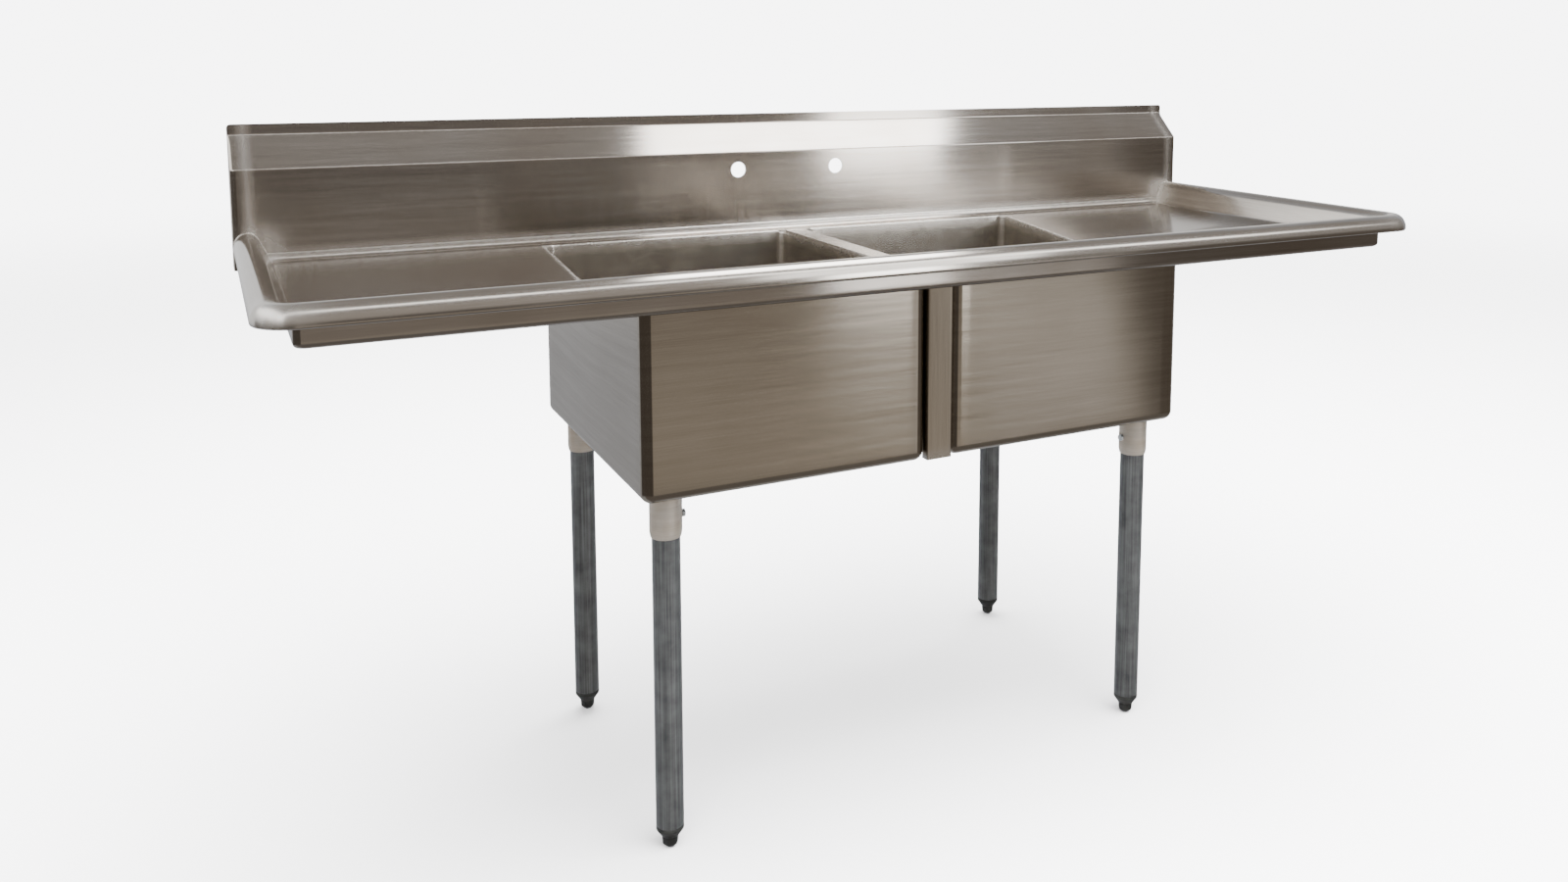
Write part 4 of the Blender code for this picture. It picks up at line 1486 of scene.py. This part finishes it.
# A flat sheet of unit cells as points (u, v, side) and faces. Each cell runs from its square edge in
# to a circle whose width is the given share of the cell, and the two sides are joined round the hole.
def piercedSheet(columns, rows, hole, corners=12):
    a = np.linspace(0, 2 * math.pi, corners, endpoint=False) + math.pi / 4
    ray = np.column_stack([np.cos(a), np.sin(a)])
    square = ray / np.abs(ray).max(1, keepdims=True) * 0.5
    circle = ray * hole / 2
    cell = np.concatenate([square, circle])
    i, j = np.meshgrid(np.arange(columns), np.arange(rows), indexing="ij")
    shift = np.stack([i.ravel() + 0.5, j.ravel() + 0.5], -1)
    flat = (cell[None] + shift[:, None]).reshape(-1, 2)
    count = len(flat)
    points = np.concatenate(
        [np.column_stack([flat, np.zeros(count)]), np.column_stack([flat, np.ones(count)])]
    )
    m = np.arange(corners)
    n = np.roll(m, -1)
    top = np.stack([m, n, n + corners, m + corners], 1)
    wallFace = np.stack([m + corners, n + corners, n + corners + count, m + corners + count], 1)
    base = (np.arange(columns * rows) * 2 * corners)[:, None, None]
    upper, lower, wall = top + base, top[:, ::-1] + base + count, wallFace + base
    faces = np.concatenate([each.reshape(-1, 4) for each in (upper, lower, wall)])
    return points, faces


for sideName, side in sides.items():
    centre = (
        side * (deck["bowlIn"] + deck["bowlOut"]) / 2, (deck["bowlFront"] + deck["bowlBack"]) / 2,
        drain["floor"],
    )
    bodyLine = rounded(
        [
            (drain["inner"], -0.004),
            (drain["inner"], 0.0023),
            (drain["flange"], 0.0023),
            (drain["flange"], 0.0003),
            (drain["outer"], 0.0003),
            (drain["outer"], -drain["seatDrop"] - drain["wall"]),
            (drain["seat"] + drain["wall"], -drain["seatDrop"] - drain["wall"]),
            (drain["seat"] + drain["wall"], -drain["cup"]),
            (drain["tail"], -drain["cup"] - drain["cone"]),
            (drain["tail"], -drain["end"]),
            (drain["tail"] - drain["wall"], -drain["end"]),
            (drain["tail"] - drain["wall"], -drain["cup"] - drain["cone"] + 0.001),
            (drain["seat"], -drain["cup"] + 0.001),
            (drain["seat"], -drain["seatDrop"]),
            (drain["inner"], -drain["seatDrop"]),
            (drain["inner"], -0.004),
        ],
        [
            0.0018, 0.0008, 0.0005, 0.0004, 0.001, 0.0004, 0.003, 0.003, 0.0004, 0.0004, 0.002, 0.002,
            0.0008, 0.0008,
        ],
        5,
    )[:-1]
    turnedPiece(
        "drainBody" + sideName.title(), spaced(bodyLine, 0.006), centre, polishedSteel,
        ["drain_body_" + sideName], steps=128,
    )
    ring = drain["outer"] + 0.0003
    high, low, wide = drain["gasketTop"], drain["gasketLow"], ring + drain["gasketWidth"]
    gasketLine = rounded(
        [(ring, -0.003), (ring, high), (wide, high), (wide, low), (ring, low), (ring, -0.003)],
        [0.0003, 0.0008, 0.0008, 0.0003],
        4,
    )[:-1]
    turnedPiece(
        "drainGasket" + sideName.title(), gasketLine, centre, sealRubber, ["drain_gasket_" + sideName],
    )
    high, low, wide = drain["nutTop"], drain["nutLow"], ring + drain["nutWidth"]
    nutLine = rounded(
        [(ring, -0.008), (ring, high), (wide, high), (wide, low), (ring, low), (ring, -0.008)],
        [0.0003, 0.0008, 0.0012, 0.0006],
        4,
    )[:-1]

    # Twelve shallow notches round the locknut for a spanner
    def lugged(turn, radius, height):
        return 1 - 0.035 * (np.sin(12 * turn) > 0.25) * (radius > ring + 0.0088)

    turnedPiece(
        "drainLocknut" + sideName.title(), spaced(nutLine, 0.003), centre, footPlastic,
        ["drain_locknut_" + sideName], steps=144, shape=lugged,
    )

    # basket: rim and shoulder turned, wall and floor pierced
    rest, wallR, footR = -drain["rest"], drain["basketWall"], drain["basketFoot"]
    floorZ = rest - drain["basketDepth"]
    columns, rows = drain["wallHoles"]
    flat, faces = piercedSheet(columns, rows, drain["wallHoleShare"])
    u, v, skin = flat[:, 0] / columns * 2 * math.pi, flat[:, 1] / rows, flat[:, 2]
    radius = wallR + (footR - wallR) * v - skin * drain["basketSheet"]
    wallPoints = np.column_stack(
        [radius * np.cos(u), radius * np.sin(u), rest + (floorZ + 0.001 - rest) * v]
    )
    columns2, rows2 = drain["floorHoles"]
    flat2, faces2 = piercedSheet(columns2, rows2, drain["floorHoleShare"])
    u2, v2, skin2 = flat2[:, 0] / columns2 * 2 * math.pi, flat2[:, 1] / rows2, flat2[:, 2]
    inner, outer = 0.0095, footR - 0.0006
    radius2 = inner + (outer - inner) * v2**0.8
    floorPoints = np.column_stack(
        [radius2 * np.cos(u2), radius2 * np.sin(u2), floorZ + drain["basketSheet"] * (1 - skin2)]
    )
    points = np.concatenate([wallPoints, floorPoints]) + centre
    faces = np.concatenate([faces, faces2 + len(wallPoints)])
    fresh = np.unique(np.round(points, 7), axis=0, return_index=True, return_inverse=True)
    points, faces = points[fresh[1]], fresh[2].reshape(-1)[faces]
    putMesh(
        "strainerBasket" + sideName.title(), points, faces, np.zeros((len(faces), 4, 2)), polishedSteel,
        "strainer_" + sideName,
        ["strainer_basket_" + sideName],
    )
    rimLine = rounded(
        [
            (drain["basketRim"] - 0.0005, rest + 0.0045),
            (drain["basketRim"], rest + 0.005),
            (drain["basketRim"], rest),
            (wallR + 0.0002, rest),
            (wallR - 0.0002, rest - 0.0012),
            (wallR - 0.0016, rest - 0.0012),
            (wallR - 0.0012, rest + 0.001),
            (drain["basketRim"] - 0.001, rest + 0.001),
            (drain["basketRim"] - 0.001, rest + 0.0045),
            (drain["basketRim"] - 0.0005, rest + 0.0045),
        ],
        [0, 0.0008, 0.0004, 0.0003, 0.0003, 0.0004, 0.0004, 0.0002],
        3,
    )[:-1]
    turnedPiece(
        "strainerRim" + sideName.title(), rimLine, centre, polishedSteel, [],
        body="strainer_" + sideName, steps=128,
    )
    bore, hub = drain["bore"], drain["hub"]
    hubLine = rounded(
        [
            (bore, floorZ + 0.0005),
            (bore, floorZ + 0.0022),
            (hub, floorZ + 0.0014),
            (hub, floorZ),
            (bore, floorZ),
            (bore, floorZ + 0.0005),
        ],
        [0.0003, 0.0004, 0.0002, 0.0002],
        3,
    )[:-1]
    turnedPiece(
        "strainerHub" + sideName.title(), hubLine, centre, polishedSteel, [],
        body="strainer_" + sideName,
    )
    sealTop = floorZ - 0.0003
    sealLow = sealTop - drain["sealDepth"]
    sealLine = rounded(
        [
            (bore, sealTop - 0.002),
            (bore, sealTop),
            (footR, sealTop),
            (footR - 0.002, sealLow),
            (bore, sealLow),
            (bore, sealTop - 0.002),
        ],
        [0.0003, 0.0008, 0.0012, 0.0004],
        4,
    )[:-1]
    turnedPiece(
        "strainerSeal" + sideName.title(), spaced(sealLine, 0.003), centre, sealRubber,
        ["strainer_seal_" + sideName], body="strainer_" + sideName,
    )
    knobLow = floorZ + drain["basketSheet"] + drain["knobRise"]
    knobTop = knobLow + drain["knobHeight"]
    postLine = rounded(
        [
            (0, sealTop - 0.006),
            (drain["post"], sealTop - 0.006),
            (drain["post"], knobLow),
            (drain["knob"], knobLow + 0.0006),
            (drain["knob"], knobLow + 0.0053),
            (0.003, knobTop),
            (0, knobTop),
        ],
        [0.0008, 0.0008, 0.0016, 0.0030, 0.002],
        5,
    )
    turnedPiece(
        "strainerPost" + sideName.title(), spaced(postLine, 0.003), centre, polishedSteel,
        ["strainer_post_" + sideName], body="strainer_" + sideName,
    )
print("drains built")


# Stage: a pale floor, a plain pale surround and soft light from large panels


studio = {
    "surround": "#fdfdfe",
    "surroundStrength": 7.0,
    "room": "#fff9f4",
    "roomStrength": 0.40,
    "floor": "#f2f2f3",
    "floorSize": 40.0,
    "fadeFrom": 2.0,  # metres from the middle, where the floor starts to melt into the surround
    "fadeTo": 9.0,
    "overheadPower": 3600,
    "frontPower": 300,
}
floorMesh = bpy.data.meshes.new("studioFloor")
h = studio["floorSize"] / 2
floorMesh.from_pydata([(-h, -h, 0), (h, -h, 0), (h, h, 0), (-h, h, 0)], [], [(0, 1, 2, 3)])
floorFinish, floorTree, floorShader = newFinish("matt studio floor")
floorShader.inputs["Base Color"].default_value = fromHex(studio["floor"])
floorShader.inputs["Roughness"].default_value = 0.9
floorShader.inputs["Specular IOR Level"].default_value = 0.1
floorPlace = addNode(floorTree, "ShaderNodeTexCoord")
away = addNode(floorTree, "ShaderNodeVectorMath", {0: floorPlace.outputs["Object"]}, operation="LENGTH")
fade = addNode(
    floorTree,
    "ShaderNodeMapRange",
    {"Value": away.outputs["Value"], "From Min": studio["fadeFrom"], "From Max": studio["fadeTo"]},
    interpolation_type="SMOOTHSTEP",
)
clear = addNode(floorTree, "ShaderNodeBsdfTransparent")
blend = addNode(
    floorTree, "ShaderNodeMixShader",
    {0: fade.outputs[0], 1: floorShader.outputs[0], 2: clear.outputs[0]},
)
floorTree.links.new(
    blend.outputs[0], next(n for n in floorTree.nodes if n.type == "OUTPUT_MATERIAL").inputs["Surface"]
)
floorMesh.materials.append(floorFinish)
studioFloor = bpy.data.objects.new("studioFloor", floorMesh)
bpy.context.scene.collection.objects.link(studioFloor)
studioFloor.location.z = -0.0002
studioFloor.visible_glossy = False

# The room as the steel sees it: soft patches of light and shade, each set by how far a direction
# leans forward and sideways and by its height in degrees. The camera sees the plain surround instead.
world = bpy.data.worlds.new("studio")
bpy.context.scene.world = world
world.use_nodes = True
tree = world.node_tree
tree.nodes.clear()
place = addNode(tree, "ShaderNodeTexCoord")
axes = addNode(tree, "ShaderNodeSeparateXYZ", {"Vector": place.outputs["Generated"]})
across = axes.outputs[0]
forward = addNode(tree, "ShaderNodeMath", {0: axes.outputs[1], 1: -1.0}, operation="MULTIPLY").outputs[0]
height = addNode(tree, "ShaderNodeMath", {0: axes.outputs[2]}, operation="ARCSINE")
elevation = addNode(tree, "ShaderNodeMath", {0: height.outputs[0]}, operation="DEGREES").outputs[0]


# 1 between two values, 0 outside, with a smooth step at each end.
def between(value, low, high, feather):
    rise = addNode(
        tree,
        "ShaderNodeMapRange",
        {"Value": value, "From Min": low - feather, "From Max": low + feather},
        interpolation_type="SMOOTHSTEP",
    )
    fall = addNode(
        tree,
        "ShaderNodeMapRange",
        {
            "Value": value, "From Min": high - feather, "From Max": high + feather, "To Min": 1.0,
            "To Max": 0.0,
        },
        interpolation_type="SMOOTHSTEP",
    )
    return addNode(
        tree, "ShaderNodeMath", {0: rise.outputs[0], 1: fall.outputs[0]}, operation="MULTIPLY",
    ).outputs[0]


# The room so far, with one soft patch of light or shade laid over it.
def patched(total, ahead, aside, heights, feather, colour, strength):
    mask = between(elevation, *heights, feather[1])
    for share, span, soft in ((across, aside, feather[0]), (forward, ahead, feather[2])):
        if span is not None:
            mask = addNode(
                tree, "ShaderNodeMath", {0: mask, 1: between(share, *span, soft)}, operation="MULTIPLY",
            ).outputs[0]
    lit = [c * strength for c in fromHex(colour)[:3]] + [1.0]
    return addNode(
        tree, "ShaderNodeMix", {"Factor": mask, "A": total, "B": lit}, data_type="RGBA",
    ).outputs[2]


seen = [c * studio["roomStrength"] for c in fromHex(studio["room"])[:3]] + [1.0]
front, back = (0, 2), (-2, 0)  # spans of the forward share: past 1 in size, so each runs to its end
roomPatches = [
    # forward span, sideways span, heights, feathers (sideways, height, forward), colour, strength
    (None, None, (-91, -8), (0.1, 3, 0.1), "#fff6ec", 0.40),  # floor
    (front, (-2, 0.51), (-60, -8), (0.05, 2, 0.1), "#fff2e2", 0.46),
    (front, (-2, 0.51), (-14, -8), (0.05, 2.5, 0.1), "#fff0e0", 0.30),
    (front, (0.525, 0.612), (-60, -8), (0.012, 3, 0.1), "#fff6ee", 0.50),
    (front, (0.525, 0.612), (-14, -8), (0.012, 3, 0.1), "#fffaf4", 0.85),
    (front, (0.622, 2), (-45, 3), (0.012, 3, 0.1), "#ffeedd", 0.13),
    (None, None, (-91, -25), (0.1, 4, 0.1), "#fff4ea", 0.18),  # dark below
    (front, (-2, 0.43), (4, 36), (0.02, 3, 0.1), "#fff6ee", 0.50),
    (front, (-2, 0.22), (-8, 3), (0.02, 2, 0.1), "#fff0e4", 0.10),  # dark room ahead
    (front, (0.22, 0.43), (-8, 3), (0.02, 2, 0.1), "#fff6ee", 0.17),
    (front, (0.515, 0.612), (-8, 8), (0.008, 2, 0.1), "#fff6ee", 0.26),
    (back, None, (-80, 45), (0.1, 5, 0.1), "#f5f8ff", 0.50),  # pale wall behind
    (back, (-2, 0.8), (-9, 32), (0.1, 4, 0.1), "#ffffff", 1.1),
    (front, (0.434, 0.510), (-7.6, 12), (0.006, 1.2, 0.1), "#ffffff", 9.0),  # tall light
    (front, (0.385, 0.570), (14, 46), (0.01, 3, 0.1), "#ffffff", 3.2),
    ((-0.4, 0.2), (0.305, 0.514), (38, 91), (0.008, 3, 0.1), "#ffffff", 12.5),  # light overhead
    (None, (-0.95, -0.55), (20, 55), (0.06, 6, 0.1), "#ffffff", 3.0),  # light at the left
    ((0.50, 0.60), (-0.95, 0.95), (25, 85), (0.05, 4, 0.02), "#ffffff", 5.0),  # long light overhead
    ((-0.55, 2), (-2, -0.14), (-30, 3), (0.08, 4, 0.1), "#ffeedd", 0.09),  # dark at the left
]
for patch in roomPatches:
    seen = patched(seen, *patch)
rays = addNode(tree, "ShaderNodeLightPath")
surround = [c * studio["surroundStrength"] for c in fromHex(studio["surround"])[:3]] + [1.0]
shown = addNode(
    tree, "ShaderNodeMix", {"Factor": rays.outputs["Is Camera Ray"], "A": seen, "B": surround},
    data_type="RGBA"
)
light = addNode(tree, "ShaderNodeBackground", {"Color": shown.outputs[2], "Strength": 1.0})
addNode(tree, "ShaderNodeOutputWorld", {"Surface": light.outputs[0]})


# A rectangular panel of light aimed at a point; reflections don't show it.
def softLight(name, place, target, size, power, colour="#ffffff"):
    lamp = bpy.data.lights.new(name, "AREA")
    lamp.shape = "RECTANGLE"
    lamp.size, lamp.size_y = size
    lamp.energy = power
    lamp.color = fromHex(colour)[:3]
    made = bpy.data.objects.new(name, lamp)
    bpy.context.scene.collection.objects.link(made)
    made.location = place
    made.rotation_mode = "QUATERNION"
    made.rotation_quaternion = (Vector(target) - Vector(place)).to_track_quat("-Z", "Y")
    made.visible_glossy = False
    return made


softLight("overheadSoftbox", (0.5, -0.5, 5.0), (0, 0, 0), (7, 7), studio["overheadPower"])
softLight("frontSoftbox", (-3.0, -5.0, 3.0), (0, 0, 0.5), (4, 3), studio["frontPower"])


# Camera: at chest height, a little to the left of the middle


view = {
    "place": (-1.0004, -1.9435, 1.1810),
    "yaw": 27.83,
    "pitch": 6.585,
    "roll": 0.25,
    "lens": 29.4975,
    "shiftX": -0.0569,
    "shiftY": -0.1556,
}
yaw, pitch, roll = (math.radians(view[k]) for k in ("yaw", "pitch", "roll"))
ahead = np.array([math.sin(yaw) * math.cos(pitch), math.cos(yaw) * math.cos(pitch), -math.sin(pitch)])
level = np.array([math.cos(yaw), -math.sin(yaw), 0.0])
upright = np.cross(level, ahead)
rightward = math.cos(roll) * level + math.sin(roll) * upright
upward = -math.sin(roll) * level + math.cos(roll) * upright
lens = bpy.data.cameras.new("camera")
lens.sensor_width = 36.0
lens.lens = view["lens"]
lens.shift_x, lens.shift_y = view["shiftX"], view["shiftY"]
camera = bpy.data.objects.new("camera", lens)
bpy.context.scene.collection.objects.link(camera)
turned = Matrix([rightward, upward, -ahead]).transposed().to_4x4()
camera.matrix_world = Matrix.Translation(view["place"]) @ turned
bpy.context.scene.camera = camera
print("stage set")
